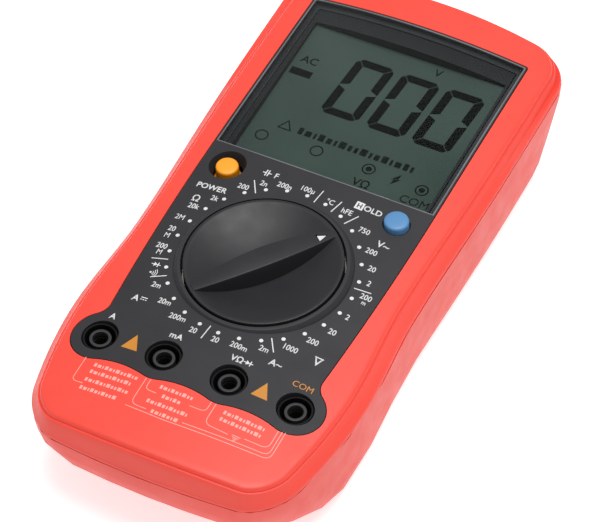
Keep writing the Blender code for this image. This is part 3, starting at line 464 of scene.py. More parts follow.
def loft(name, rings, apex):
    """A closed body through rings of equally many points, flat at the first and a fan at the last."""
    work = bmesh.new()
    loops = [[work.verts.new(point) for point in ring] for ring in rings]
    count = len(rings[0])
    for lower, upper in zip(loops, loops[1:]):
        for i in range(count):
            j = (i + 1) % count
            work.faces.new((lower[i], lower[j], upper[j], upper[i]))
    work.faces.new(loops[0])
    tip = work.verts.new(apex)
    for i in range(count):
        work.faces.new((loops[-1][i], loops[-1][(i + 1) % count], tip))
    return from_bmesh(name, work)


# The case and its domed face.


def face_height(x, y):
    return PANEL_TOP - DOME_ACROSS * x * x - DOME_ALONG * (y - DIAL_Y) ** 2


def below_face(depth):
    return lambda x, y: face_height(x, y) - depth


def pinch(y):
    reach = WAIST_REACH_UP if y > WAIST_Y else WAIST_REACH_DOWN
    waist = WAIST_DEPTH * math.exp(-(((y - WAIST_Y) / reach) ** 2))
    return waist + TAPER_RATE * max(0.0, TAPER_START - y) ** 2


def body_ring(side, top, bottom, radius, height):
    """One level of the case's outline, moved in from the full size at its sides and ends."""
    half, high, low = HALF_WIDTH - side, HALF_LENGTH - top, bottom - HALF_LENGTH
    corners = (
        ((half - radius, low + radius), -90),
        ((half - radius, high - radius), 0),
        ((radius - half, high - radius), 90),
        ((radius - half, low + radius), 180),
    )
    straight = (44, 18, 44, 18)
    outline = []
    for index, (centre, start) in enumerate(corners):
        bend = arc(centre, radius, start, start + 90, 16)
        following, following_start = corners[(index + 1) % 4]
        target = arc(following, radius, following_start, following_start, 1)[0]
        outline += bend
        for i in range(1, straight[index]):
            share = i / straight[index]
            outline.append(tuple(a + (b - a) * share for a, b in zip(bend[-1], target)))
    ring = []
    for x, y in outline:
        x *= 1 - pinch(y) / HALF_WIDTH
        y -= END_ARC * x * x * max(-1.0, min(1.0, y / END_ARC_REACH))
        ring.append((x, y, height(x, y) if callable(height) else height))
    return ring


def shrunk(ring, share, height):
    points = [(x * share, y * share) for x, y, _ in ring]
    return [(x, y, height(x, y)) for x, y in points]


def domed_body(name, rings, cap_height):
    last = rings[-1]
    shares = [0.95, 0.9, 0.84, 0.78, 0.72, 0.66, 0.6]
    rings = rings + [shrunk(last, share, cap_height) for share in shares]
    return loft(name, rings, (0, 0, cap_height(0, 0)))


def make_front_case():
    """The front shell, with the fine groove that runs round its face and a soft edge inside it."""
    outer = [
        body_ring(*mm(0.3, 0.15, 0.2, 10.9), PARTING - mm(0.25)),
        body_ring(*mm(0.12, 0.06, 0.1, 11.0), PARTING),
        body_ring(*mm(0.05, 0.02, 0.05, 11.0), PARTING + mm(0.3)),
        body_ring(*mm(0.2, 0.02, 0.2, 10.9), PARTING + mm(0.8)),
        body_ring(*mm(0.6, 0.1, 0.5, 10.8), PARTING + mm(1.3)),
        body_ring(*mm(1.75, 0.32, 1.25, 9.9), below_face(mm(2.7))),
        body_ring(*mm(2.65, 0.52, 1.85, 9.2), below_face(mm(1.4))),
        body_ring(*mm(2.85, 0.6, 2.0, 9.0), below_face(mm(1.2))),
        body_ring(*mm(3.02, 0.7, 2.18, 8.9), below_face(mm(1.2))),
        body_ring(*mm(3.2, 0.8, 2.36, 8.7), below_face(mm(1.36))),
        body_ring(*mm(3.4, 0.94, 2.54, 8.6), below_face(mm(1.3))),
        body_ring(*mm(3.56, 1.06, 2.7, 8.5), below_face(mm(0.8))),
        body_ring(*mm(3.78, 1.22, 2.92, 8.3), below_face(mm(0.42))),
        body_ring(*mm(4.1, 1.5, 3.25, 8.0), below_face(mm(0.19))),
        body_ring(*mm(4.6, 2.0, 3.8, 7.6), below_face(mm(0.08))),
        body_ring(*mm(5.3, 2.7, 4.5, 7.0), below_face(mm(0.02))),
        body_ring(*mm(6.2, 3.6, 5.4, 6.4), below_face(0)),
    ]
    inner = [
        body_ring(WALL, WALL, WALL, mm(9), PARTING - mm(2)),
        body_ring(WALL, WALL, WALL, mm(9), PARTING + mm(0.6)),
        body_ring(*mm(4.8, 2.8, 4.2, 7.5), below_face(mm(3.4))),
        body_ring(*mm(6.2, 4.0, 5.6, 6.5), below_face(WALL)),
    ]
    shell = domed_body("case_front_skin", outer, below_face(0))
    combine(shell, domed_body("front_hollow", inner, below_face(WALL)), "DIFFERENCE")
    pocket = outline_solid("panel_pocket", panel_outline(mm(0.24)), mm(20), mm(45))
    combine(shell, pocket, "DIFFERENCE")
    merge_slivers(shell)
    level(smooth(shell))
    keep(shell, "case", "case_red", "case_red", "front_case")


# Face panel, window and display.


def panel_side(y):
    share = max(0.0, (PANEL_PINCH_FROM - y) / (PANEL_PINCH_FROM - NECK_Y))
    return PANEL_HALF - PANEL_PINCH * share * share


def panel_outline(grow):
    """The dark panel: straight beside the display, waisted beside the dial, and lobed round the sockets."""
    lobe = LOBE_RADIUS + grow
    fillet = NECK_FILLET - grow
    corner = (1.5 * JACK_PITCH, JACK_Y)
    neck_x = panel_side(NECK_Y) + grow + fillet
    neck_rise = math.sqrt((lobe + fillet) ** 2 - (neck_x - corner[0]) ** 2)
    neck_angle = math.degrees(math.atan2(neck_rise, neck_x - corner[0]))
    half_pitch = JACK_PITCH / 2
    drop = JACK_Y - SCALLOP_TOP_Y + grow
    scallop = (half_pitch**2 + drop**2 - lobe**2) / (2 * (lobe - drop))
    dip_angle = math.degrees(math.atan2(drop + scallop, half_pitch))
    right = arc((PANEL_HALF - mm(0.6), PANEL_TOP_Y - mm(0.6)), mm(0.6) + grow, 90, 0, 5)
    steps = 24
    for i in range(steps):
        y = PANEL_PINCH_FROM + (JACK_Y + neck_rise - PANEL_PINCH_FROM) * i / steps
        right.append((panel_side(y) + grow, y))
    right += arc((neck_x, JACK_Y + neck_rise), fillet, 180, 180 + neck_angle, 14)
    right += arc(corner, lobe, neck_angle, -90 + (90 - dip_angle), 40)[1:]
    outline = right + arc(corner, lobe, -dip_angle, dip_angle - 180, 10)[1:]
    outline += arc((JACK_PITCH, JACK_Y - drop - scallop), scallop, dip_angle, 180 - dip_angle, 16)[1:]
    outline += arc((half_pitch, JACK_Y), lobe, -dip_angle, dip_angle - 180, 10)[1:]
    outline += arc((0.0, JACK_Y - drop - scallop), scallop, dip_angle, 90, 8)[1:]
    return mirrored([(max(x, 0.0), y) for x, y in outline])


def window_outline(inset, bottom_inset, corner=mm(0.5)):
    """The display window: straight sides and top, and a bottom edge that bows towards the dial."""
    half = WINDOW_HALF - inset
    right = arc((half - corner, WINDOW_TOP_Y - inset - corner), corner, 90, 0, 5)
    count = 24
    for i in range(count, -1, -1):
        x = half * i / count
        bow = WINDOW_BOTTOM_ARC * (x / WINDOW_HALF) ** 2
        right.append((x, WINDOW_BOTTOM_Y + bow + bottom_inset))
    return mirrored(right)


def dome_slab(name, depth, thickness):
    """A sheet that follows the face at a depth below it."""
    bpy.ops.mesh.primitive_grid_add(x_subdivisions=60, y_subdivisions=36, size=1.0)
    obj = bpy.context.object
    obj.name = name
    for vertex in obj.data.vertices:
        x, y = vertex.co.x * HALF_WIDTH * 2.2, vertex.co.y * HALF_LENGTH * 2.2
        vertex.co = (x, y, face_height(x, y) - depth)
    skin = obj.modifiers.new("thickness", "SOLIDIFY")
    skin.thickness = thickness
    skin.offset = -1.0
    return obj


def plate_on_dome(name, outline, depth, thickness):
    plate = outline_solid(name, outline, mm(15), mm(50))
    return combine(plate, dome_slab(name + "_slab", depth, thickness), "INTERSECT")


def make_front_panel():
    panel = plate_on_dome("face_panel", panel_outline(0), 0, PANEL_THICKNESS)
    seat = outline_solid("lens_seat", window_outline(0, 0), mm(10), mm(50))
    slab = dome_slab("seat_slab", -mm(4), LENS_THICKNESS + GAP + mm(4))
    combine(panel, combine(seat, slab, "INTERSECT"), "DIFFERENCE")
    view = window_outline(LEDGE_WIDTH + GAP, LEDGE_WIDTH_BOTTOM)
    combine(panel, outline_solid("view_hole", view, mm(10), mm(50)), "DIFFERENCE")
    combine(panel, cylinder("knob_hole", KNOB_HOLE, (0, DIAL_Y, mm(20)), mm(30), segments=160), "DIFFERENCE")
    surface_z = face_height(BUTTON_X, BUTTON_Y)
    well_base = (-BUTTON_X, BUTTON_Y, surface_z - mm(6))
    combine(panel, cylinder("power_well", mm(3.5), well_base, mm(6.8), mm(5.5)), "DIFFERENCE")
    hold_base = (BUTTON_X, BUTTON_Y, surface_z - mm(7))
    combine(panel, cylinder("hold_hole", mm(3.8), hold_base, mm(12)), "DIFFERENCE")
    for name, x in jack_places():
        base = (x, JACK_Y, mm(20))
        combine(panel, cylinder(f"socket_hole_{name}", mm(5.0), base, mm(30)), "DIFFERENCE")
    soften(panel, mm(0.13))
    bake(panel)
    level(smooth(panel))
    keep(panel, "case", "panel_grey", "panel_grey", "front_panel")
    collar = [
        (KNOB_HOLE + mm(0.05), COLLAR_HEIGHT),
        (KNOB_HOLE + mm(1.0), COLLAR_HEIGHT),
        (COLLAR_OUTER - mm(0.3), mm(-0.75)),
        (COLLAR_OUTER, mm(-1.8)),
        (COLLAR_OUTER, mm(-3.0)),
        (KNOB_HOLE + mm(0.05), mm(-3.0)),
    ]
    ring = turned("dial_collar", rounded(collar, mm(0.3)), (0, DIAL_Y, PANEL_TOP), 160, closed=True)
    keep(smooth(ring), "case", "panel_grey", "panel_grey")


def make_window():
    lens = plate_on_dome("window_lens", window_outline(GAP * 0.6, GAP * 0.6), 0, LENS_THICKNESS)
    soften(lens, mm(0.2), 3)
    bake(lens)
    smooth(lens)
    keep(lens, "case", "window_clear", "window_clear", "display_window")
    # A thin pale ring round the lens: a painted highlight standing for the light caught by the lens's rounded edge.
    highlight_rim = plate_on_dome("window_rim_highlight", window_outline(mm(-0.1), mm(0.03)), -mm(0.02), mm(0.3))
    inside = outline_solid("edge_inside", window_outline(mm(0.3), mm(0.33)), mm(10), mm(50))
    combine(highlight_rim, inside, "DIFFERENCE")
    keep(smooth(highlight_rim), "case", "lens_edge", "window_clear")


def lcd_marks():
    """The display's segments: three figures, a minus sign and the small marks round them."""
    dark, faint = Print(LCD_TOP), Print(LCD_TOP)
    for x in mm(-7.3, 6.75, 20.6):
        dark.figure((x, mm(51.8)), mm(11.7), mm(22.8), mm(2.6), "abcdef")
    dark.bar(mm(-24.9, 51.3), mm(6.6), mm(2.6))
    faint.words("AC", mm(-24.7, 56.5), mm(2.7), 0.00006)
    faint.words("V", mm(10.5, 67.0), mm(2.8), 0.00004)
    sign = [mm(-19.6 + x, 31.6 + y) for x, y in ((-1.9, -1.4), (1.9, -1.4), (0.0, 1.8), (-1.9, -1.4))]
    faint.stroke(sign, mm(0.4))
    faint.dashes(mm(-15.6, 31.4), mm(36.0), mm(2.5), 17)
    for x, dotted in ((-24.2, False), (-7.7, False), (8.3, True), (24.8, True)):
        y = 25.6 + 1.1 * (1 - (x / 25) ** 2)
        faint.ring(mm(x, y), mm(1.75), mm(0.42))
        if dotted:
            faint.disc(mm(x, y), mm(0.9))
    for bolt in (((0.9, 2.3), (-1.4, -0.5), (0.5, 0.3)), ((-0.9, -2.3), (1.4, 0.5), (-0.5, -0.3))):
        dark.polygon([mm(16.7 + x, 26.2 + y) for x, y in bolt])
    faint.words("VΩ", mm(8.5, 21.1), mm(2.8), 0.00006)
    faint.words("COM", mm(24.7, 20.9), mm(2.8), 0.00006)
    dark.build("lcd_figures", "lcd_ink", "lcd_green")
    faint.build("lcd_small_marks", "lcd_faint", "lcd_green")


# Print: flat marks gathered into one thin skin for each colour.


class Print:
    """Collects flat marks, then lays them on a surface as one thin layer of ink."""

    def __init__(self, level=None):
        self.level = level
        self.work = bmesh.new()

    def polygon(self, points):
        self.work.faces.new([self.work.verts.new((x, y, 0)) for x, y in points])

    def bar(self, centre, width, height):
        x, y = centre
        w, h = width / 2, height / 2
        self.polygon([(x - w, y - h), (x + w, y - h), (x + w, y + h), (x - w, y + h)])

    def disc(self, centre, radius, count=20):
        self.polygon(arc(centre, radius, 0, 360, count)[:-1])

    def stroke(self, points, width):
        """A line of even width through the points, with mitred corners."""
        places = [Vector(point) for point in points]
        left, right = [], []
        for i, here in enumerate(places):
            before, after = places[max(i - 1, 0)], places[min(i + 1, len(places) - 1)]
            a = (here - before).normalized() if here != before else (after - here).normalized()
            b = (after - here).normalized() if here != after else a
            along = (a + b).normalized() if (a + b).length > 1e-6 else a
            across = Vector((-along.y, along.x))
            reach = width / 2 / max(0.4, abs(along.dot(a)))
            left.append(self.work.verts.new((*(here + across * reach), 0)))
            right.append(self.work.verts.new((*(here - across * reach), 0)))
        for i in range(len(places) - 1):
            self.work.faces.new((left[i], right[i], right[i + 1], left[i + 1]))

    def ring(self, centre, radius, width, count=28):
        self.stroke(arc(centre, radius, 0, 360, count), width)

    def path(self, points, width, step=mm(1.5)):
        """A long line, divided so that it can follow the face."""
        route = [points[0]]
        for start, end in zip(points, points[1:]):
            length = math.dist(start, end)
            parts = max(1, round(length / step))
            for i in range(1, parts + 1):
                route.append(tuple(a + (b - a) * i / parts for a, b in zip(start, end)))
        self.stroke(route, width)

    def dashes(self, start, length, height, count):
        """A row of short plain strokes that stands where fine print would be."""
        x, y = start
        widths = [0.62 + 0.3 * math.sin(2.3 * i) for i in range(count)]
        unit = length / sum(width + 0.34 for width in widths)
        for i, width in enumerate(widths):
            rise = height * (0.82 if i % 3 else 1.0)
            self.bar((x + width * unit / 2, y + rise / 2 - height / 2), width * unit, rise)
            x += (width + 0.34) * unit

    def words(self, text, centre, height, weight=0.00004, squeeze=1.0):
        """Upright lettering of a capital height, centred on a place."""
        curve = bpy.data.curves.new("lettering", "FONT")
        curve.body = text
        curve.size = height / 0.729
        curve.offset = 0.0 if "M" in text else weight
        curve.resolution_u = 3
        drawn = bpy.data.objects.new("lettering", curve)
        bpy.context.scene.collection.objects.link(drawn)
        bpy.context.view_layer.update()
        graph = bpy.context.evaluated_depsgraph_get()
        mesh = bpy.data.meshes.new_from_object(drawn.evaluated_get(graph))
        bpy.data.objects.remove(drawn, do_unlink=True)
        xs = [v.co.x for v in mesh.vertices]
        ys = [v.co.y for v in mesh.vertices]
        middle = Vector(((min(xs) + max(xs)) / 2, (min(ys) + max(ys)) / 2, 0))
        for vertex in mesh.vertices:
            vertex.co -= middle
            vertex.co.x = vertex.co.x * squeeze + centre[0]
            vertex.co.y += centre[1]
        self.work.from_mesh(mesh)

    def figure(self, centre, width, height, stroke, lit):
        """A seven-segment figure that leans to the right, with mitred segments a hair apart."""
        x0, y0 = centre
        w, h, t, gap = width / 2, height / 2, stroke, mm(0.14)
        corner, lean = 0.6 * stroke, 0.07

        def place(points):
            self.polygon([(x0 + x + lean * y, y0 + y) for x, y in points])

        def across(side):
            half = (
                (w - corner - gap, h),
                (w - corner / 2 - gap, h - corner / 2),
                (w - t - gap, h - t),
            )
            left = [(-x, y) for x, y in reversed(half)]
            place([(x, side * y) for x, y in (*half, *left)])

        def upright(side, end):
            edge = (
                (w, gap),
                (w, h - corner - gap),
                (w - corner / 2, h - corner / 2 - gap),
                (w - t, h - t - gap),
                (w - t, t / 2),
            )
            place([(side * x, end * y) for x, y in edge])

        if "a" in lit:
            across(1)
        if "d" in lit:
            across(-1)
        for letter, side, end in (("b", 1, 1), ("c", 1, -1), ("f", -1, 1), ("e", -1, -1)):
            if letter in lit:
                upright(side, end)

    def build(self, name, look, slot, body="case", lift=mm(0.03)):
        """Lays the marks on the face, or on a flat level, as a closed film."""
        work = self.work
        bmesh.ops.dissolve_degenerate(work, dist=1e-7, edges=work.edges)
        for vertex in work.verts:
            x, y = vertex.co.x, vertex.co.y
            vertex.co.z = lift + (face_height(x, y) if self.level is None else self.level)
        for face in work.faces:
            face.normal_update()
            if face.normal.z < 0:
                face.normal_flip()
        mesh = bpy.data.meshes.new(name)
        work.to_mesh(mesh)
        work.free()
        obj = bpy.data.objects.new(name, mesh)
        bpy.context.scene.collection.objects.link(obj)
        film = obj.modifiers.new("film", "SOLIDIFY")
        film.thickness = lift * 1.6
        film.offset = -1.0
        bake(obj)
        return keep(obj, body, look, slot)


def from_dial(x, y):
    """A place on the face, given in millimetres from the dial's centre."""
    return mm(x), DIAL_Y + mm(y)


SCALE_LABELS = (
    ("200", -17.5, 22.2), ("2n", -12.8, 25.3), ("200n", -7.2, 26.7), ("100µ", -0.7, 27.8),
    ("°C", 6.6, 26.7), ("hFE", 12.1, 25.6), ("750", 19.1, 21.8), ("200", 23.8, 16.4),
    ("20", 26.4, 11.3), ("2", 27.8, 6.6), ("200", 29.1, 2.1), ("m", 29.3, 0.0),
    ("2", 27.7, -6.0), ("20", 26.3, -12.2), ("200", 23.2, -17.4), ("1000", 19.2, -22.1),
    ("2m", 13.1, -25.4), ("200m", 6.9, -27.6), ("20", 0.3, -28.2), ("20", -6.4, -27.8),
    ("200m", -12.2, -25.6), ("20m", -17.9, -22.1), ("2m", -22.8, -17.7), ("200", -28.2, -4.7),
    ("M", -27.8, -6.9), ("20", -28.6, 1.8), ("M", -28.7, -0.8), ("2M", -28.6, 6.3),
    ("20k", -26.9, 11.1), ("2k", -22.8, 15.6),
)
DIVIDERS = (
    (-15.8, 25.4, -13.3, 21.2), (3.2, 29.4, 2.6, 24.6), (9.4, 28.1, 8.2, 23.6),
    (15.6, 25.6, 13.2, 21.5), (25.0, 3.3, 29.7, 3.9), (13.3, -21.4, 15.8, -25.3),
    (-2.8, -24.7, -3.3, -29.4), (-25.8, -15.8, -21.8, -13.9), (-28.7, -9.6, -24.2, -8.6),
)
LABEL_HEIGHT = mm(1.85)
DIVIDER_WIDTH = mm(0.28)


def panel_print():
    """The white scale round the dial, its divisions and the marks beside the buttons and sockets."""
    white, orange = Print(), Print()
    for i in range(DIAL_POSITIONS):
        angle = math.radians(90 - (i - POINTER_STEPS) * 360 / DIAL_POSITIONS)
        white.disc((DOT_RADIUS * math.cos(angle), DIAL_Y + DOT_RADIUS * math.sin(angle)), mm(0.56), 14)
    for text, x, y in SCALE_LABELS:
        white.words(text, from_dial(x, y), LABEL_HEIGHT if text != "m" else mm(1.4), squeeze=0.86)
    for x0, y0, x1, y1 in DIVIDERS:
        white.path([from_dial(x0, y0), from_dial(x1, y1)], DIVIDER_WIDTH)
    white.words("Ω", from_dial(-27.7, 14.0), mm(2.3))
    white.words("POWER", from_dial(-25.4, 18.9), mm(1.9), 0.00006)
    white.words("F", from_dial(-10.8, 29.0), mm(1.9))
    white.words("OLD", from_dial(18.2, 29.0), mm(1.9), 0.00006)
    white.words("V~", from_dial(25.6, 19.8), mm(2.2), 0.00006)
    white.words("V", from_dial(27.1, -22.7), mm(2.4), 0.00006)
    white.bar(from_dial(27.1, -21.3), mm(2.5), mm(0.3))
    white.words("A~", from_dial(17.9, -28.2), mm(2.1), 0.00006)
    white.words("A", from_dial(-25.9, -23.5), mm(2.1), 0.00006)
    white.words("A", from_dial(-28.5, -31.3), mm(1.9), 0.00006)
    white.words("mA", from_dial(-9.4, -31.3), mm(1.9), 0.00006)
    white.words("VΩ", from_dial(8.3, -31.3), mm(1.9), 0.00006)
    orange.words("COM", from_dial(27.3, -31.3), mm(1.9), 0.00008)
    boxed_h(white, 14.2, 29.0)
    direct_current(white, -23.6, -23.3)
    capacitor(white, -13.7, 29.1)
    diode(white, -26.4, -11.3)
    diode(white, 11.6, -31.3)
    buzzer(white, -25.6, -14.2)
    for x, y in ((-19.1, -37.3), (18.8, -37.1)):
        corners = ((-2.35, -2.5), (2.35, -2.5), (0.0, 2.5))
        orange.polygon([from_dial(x + dx, y + dy) for dx, dy in corners])
    white.build("panel_print_white", "print_white", "print_white")
    orange.build("panel_print_orange", "print_orange", "print_white")


def boxed_h(ink, x, y):
    """A white tile with the letter left bare in it."""
    for side in (-1, 1):
        ink.bar(from_dial(x + side * 0.93, y), mm(0.54), mm(2.6))
        ink.bar(from_dial(x, y + side * 1.05), mm(1.32), mm(0.5))
        ink.bar(from_dial(x, y + side * 0.47), mm(0.66), mm(0.66))


def direct_current(ink, x, y):
    """The direct current sign: a line over three dashes."""
    ink.bar(from_dial(x, y + 0.45), mm(1.9), mm(0.26))
    for i in (-1, 0, 1):
        ink.bar(from_dial(x + i * 0.7, y - 0.25), mm(0.45), mm(0.26))


def capacitor(ink, x, y):
    for side in (-1, 1):
        ink.bar(from_dial(x + side * 0.34, y), mm(0.34), mm(2.2))
        ink.bar(from_dial(x + side * 0.9, y), mm(0.8), mm(0.3))


def diode(ink, x, y):
    ink.polygon([from_dial(x - 0.6, y - 0.7), from_dial(x + 0.45, y), from_dial(x - 0.6, y + 0.7)])
    ink.bar(from_dial(x + 0.6, y), mm(0.28), mm(1.6))
    ink.bar(from_dial(x, y), mm(2.7), mm(0.24))


def buzzer(ink, x, y):
    ink.disc(from_dial(x - 0.9, y), mm(0.32), 10)
    for radius in (0.75, 1.3, 1.85):
        bend = arc((x - 0.9, y), radius, -48, 48, 8)
        ink.stroke([from_dial(a, b) for a, b in bend], mm(0.2))


def turned_line(points, radius, steps=6):
    """A route with its inner corners rounded, in millimetres from the dial."""
    return rounded(points, radius, steps)


def case_print():
    """The pale lines that tie the sockets together, and plain strokes where the fine print would be."""
    pale = Print()
    width = mm(0.2)
    routes = (
        ((-28.3, -46.1), (-28.3, -54.1), (-24.9, -54.1)),
        ((-11.1, -56.3), (0.0, -56.7), (24.0, -55.6), (29.7, -55.2), (29.7, -46.0)),
        ((-10.1, -46.6), (-10.1, -55.3), (-5.5, -55.4)),
        ((5.0, -55.4), (24.5, -54.4), (28.9, -54.2), (28.9, -46.2)),
        ((-8.8, -46.6), (-8.8, -49.8), (-5.5, -49.9)),
        ((4.2, -49.9), (8.75, -49.8), (8.75, -46.4)),
        ((10.1, -46.4), (10.1, -53.1), (17.0, -53.4)),
        ((21.4, -52.7), (27.9, -52.5), (27.9, -46.4)),
    )
    for route in routes:
        bent = turned_line(list(route), 2.0)
        pale.path([from_dial(x, y) for x, y in bent], width)
    rows = (
        (-25.0, -47.6, 13.2, 12), (-25.0, -49.9, 12.4, 11), (-25.0, -52.6, 13.0, 12), (-25.0, -55.4, 11.0, 10),
        (-5.5, -47.6, 9.8, 9), (-3.6, -50.1, 5.6, 5), (-6.6, -52.8, 12.0, 11), (-4.0, -55.4, 8.0, 7),
        (13.0, -47.8, 12.0, 11), (13.0, -50.0, 12.0, 11),
    )
    for x, y, length, count in rows:
        pale.dashes(from_dial(x, y), mm(length), mm(1.15), count)
    pale.bar(from_dial(19.2, -53.0), mm(2.4), mm(0.22))
    for index, half in enumerate((0.9, 0.6, 0.3)):
        pale.bar(from_dial(19.2, -53.5 - 0.45 * index), mm(2 * half), mm(0.2))
    pale.build("case_print_pale", "print_pale", "print_white")


# Rotary selector.


def bar_half_width(u):
    share = u / BAR_HALF_LENGTH
    return BAR_TIP_HALF + BAR_BULGE * (1 - share * share)


def bar_height(u):
    share = u / BAR_HALF_LENGTH
    return KNOB_RIM + mm(0.12) + BAR_CROWN * (1 - share * share)


def selector_angle():
    return math.radians(90 - POINTER_STEPS * 360 / DIAL_POSITIONS)


def make_grip_bar():
    """The crowned bar: a loft of sections with a rounded top edge, wider at its foot."""
    work = bmesh.new()
    count = 64
    foot = KNOB_RIM - DISH_DEPTH - mm(0.8)
    draft, edge = mm(0.9), mm(0.32)
    sections = []
    for i in range(count + 1):
        u = BAR_HALF_LENGTH * (2 * i / count - 1) * 0.985
        half, top = bar_half_width(u), bar_height(u)
        shoulder = [(half - edge + edge * math.sin(a), top - edge + edge * math.cos(a)) for a in (0.0, 0.4, 0.8, 1.2, 1.5)]
        profile = [(-v, z) for v, z in reversed(shoulder)] + shoulder
        profile += [(half + draft, foot), (-half - draft, foot)]
        sections.append([work.verts.new((u, v, z)) for v, z in profile])
    size = len(sections[0])
    for here, there in zip(sections, sections[1:]):
        for i in range(size):
            j = (i + 1) % size
            work.faces.new((here[i], here[j], there[j], there[i]))
    work.faces.new(sections[0])
    work.faces.new(sections[-1])
    bar = from_bmesh("grip_bar", work)
    turn = Matrix.Rotation(selector_angle(), 4, "Z")
    bar.data.transform(Matrix.Translation((0, DIAL_Y, PANEL_TOP)) @ turn)
    return bar


def make_selector():
    dish_radius = KNOB_RADIUS - KNOB_RIM_WIDTH
    rings = 40
    profile = []
    for i in range(rings + 1):
        r = dish_radius * i / rings
        profile.append((r, KNOB_RIM - DISH_DEPTH * (1 - (r / dish_radius) ** 2)))
    edge = [
        (KNOB_RADIUS - mm(0.55), KNOB_RIM + mm(0.02)),
        (KNOB_RADIUS, KNOB_RIM),
        (KNOB_RADIUS, mm(-4.4)),
        (KNOB_RADIUS - mm(2.0), mm(-5.0)),
        (0.0, mm(-5.25)),
    ]
    profile += rounded([profile[-1], *edge], mm(0.3), 4)[1:]
    knob = turned("selector_dial", profile, (0, DIAL_Y, PANEL_TOP), 200)
    combine(knob, make_grip_bar(), "UNION")
    recess = outline_solid("pointer_recess", pointer_points(mm(1.5)), PANEL_TOP + mm(0.75), PANEL_TOP + mm(4))
    combine(knob, recess, "DIFFERENCE")
    smooth(knob, math.radians(26))
    keep(knob, "selector", "knob_grey", "knob_grey", "selector_knob")
    mark = outline_solid("dial_pointer", pointer_points(mm(1.12)), PANEL_TOP + mm(0.9), PANEL_TOP + mm(1.42))
    soften(mark, mm(0.06))
    bake(mark)
    keep(mark, "selector", "print_white", "print_white", "knob_pointer")


def pointer_points(half):
    """A triangle on the bar near its tip, aimed at the selected position."""
    angle = selector_angle()
    dial = Vector((0, DIAL_Y))
    forward = Vector((math.cos(angle), math.sin(angle)))
    left = Vector((-forward.y, forward.x))
    tip = dial + forward * (mm(17.2) + half)
    back = dial + forward * (mm(17.2) - half)
    corners = (tip, back + left * half * 0.9, back - left * half * 0.9)
    return [(corner.x, corner.y) for corner in corners]


# Buttons and sockets.


def make_buttons():
    surface_z = face_height(BUTTON_X, BUTTON_Y)
    rows = (
        ("power_cap", "power_button", "button_yellow", -BUTTON_X, mm(3.2), mm(-0.1), mm(-7.4)),
        ("hold_cap", "hold_button", "button_blue", BUTTON_X, mm(3.45), mm(2.0), mm(-8.2)),
    )
    for name, node, look, x, radius, lift, foot in rows:
        shoulder = mm(-6.2)
        profile = [
            (0.0, lift),
            (radius * 0.5, lift - mm(0.02)),
            (radius * 0.82, lift - mm(0.12)),
            (radius * 0.95, lift - mm(0.36)),
            (radius, lift - mm(0.8)),
            (radius + mm(0.08), shoulder),
            (mm(4.5), shoulder),
            (mm(4.5), shoulder - mm(0.9)),
            (mm(1.5), shoulder - mm(0.9)),
            (mm(1.5), foot),
            (0.0, foot),
        ]
        cap = turned(name, rounded(profile, mm(0.35), 4), (x, BUTTON_Y, surface_z))
        keep(smooth(cap), node, look, look, node)


def jack_places():
    return [(name, (index - 1.5) * JACK_PITCH) for index, name in enumerate(JACK_NAMES)]


def make_jacks():
    for name, x in jack_places():
        surface_z = face_height(x, JACK_Y)
        base = mm(23.4)
        lip, ring = surface_z - mm(0.8) - base, surface_z - mm(1.2) - base
        shroud = [
            (mm(4.4), lip),
            (mm(4.7), lip),
            (mm(4.7), 0.0),
            (mm(2.96), 0.0),
            (mm(2.96), mm(1.6)),
            (mm(4.1), mm(1.6)),
            (mm(4.1), lip),
            (mm(4.4), lip),
        ]
        profile = rounded(shroud, mm(0.18))[:-1]
        sleeve = turned(f"socket_sleeve_{name}", profile, (x, JACK_Y, base), 72, closed=True)
        keep(smooth(sleeve), "case", "jack_black", "jack_black", f"jack_sleeve_{name}")
        tower = [
            (mm(2.5), ring),
            (mm(2.95), ring),
            (mm(2.95), 0.0),
            (mm(2.6), 0.0),
            (mm(2.6), ring - mm(2.1)),
            (mm(2.1), ring - mm(2.1)),
            (mm(2.1), ring),
            (mm(2.5), ring),
        ]
        profile = rounded(tower, mm(0.14))[:-1]
        nose = turned(f"socket_ring_{name}", profile, (x, JACK_Y, base), 72, closed=True)
        keep(smooth(nose), "case", "jack_ring", "jack_black")
        # The contact tube is coloured near black: painted shade for the dark inside the socket's bore.
        tube = [
            (mm(2.15), ring - mm(2.4)),
            (mm(2.3), ring - mm(2.4)),
            (mm(2.3), mm(0.4)),
            (mm(2.0), mm(0.4)),
            (mm(2.0), ring - mm(2.4)),
            (mm(2.15), ring - mm(2.4)),
        ]
        profile = rounded(tube, mm(0.1))[:-1]
        contact = turned(f"socket_contact_{name}", profile, (x, JACK_Y, base), 48, closed=True)
        keep(smooth(contact), "case", "contact_metal", "contact_brass", f"jack_contact_{name}")


# Everything that keeps its frame mesh.


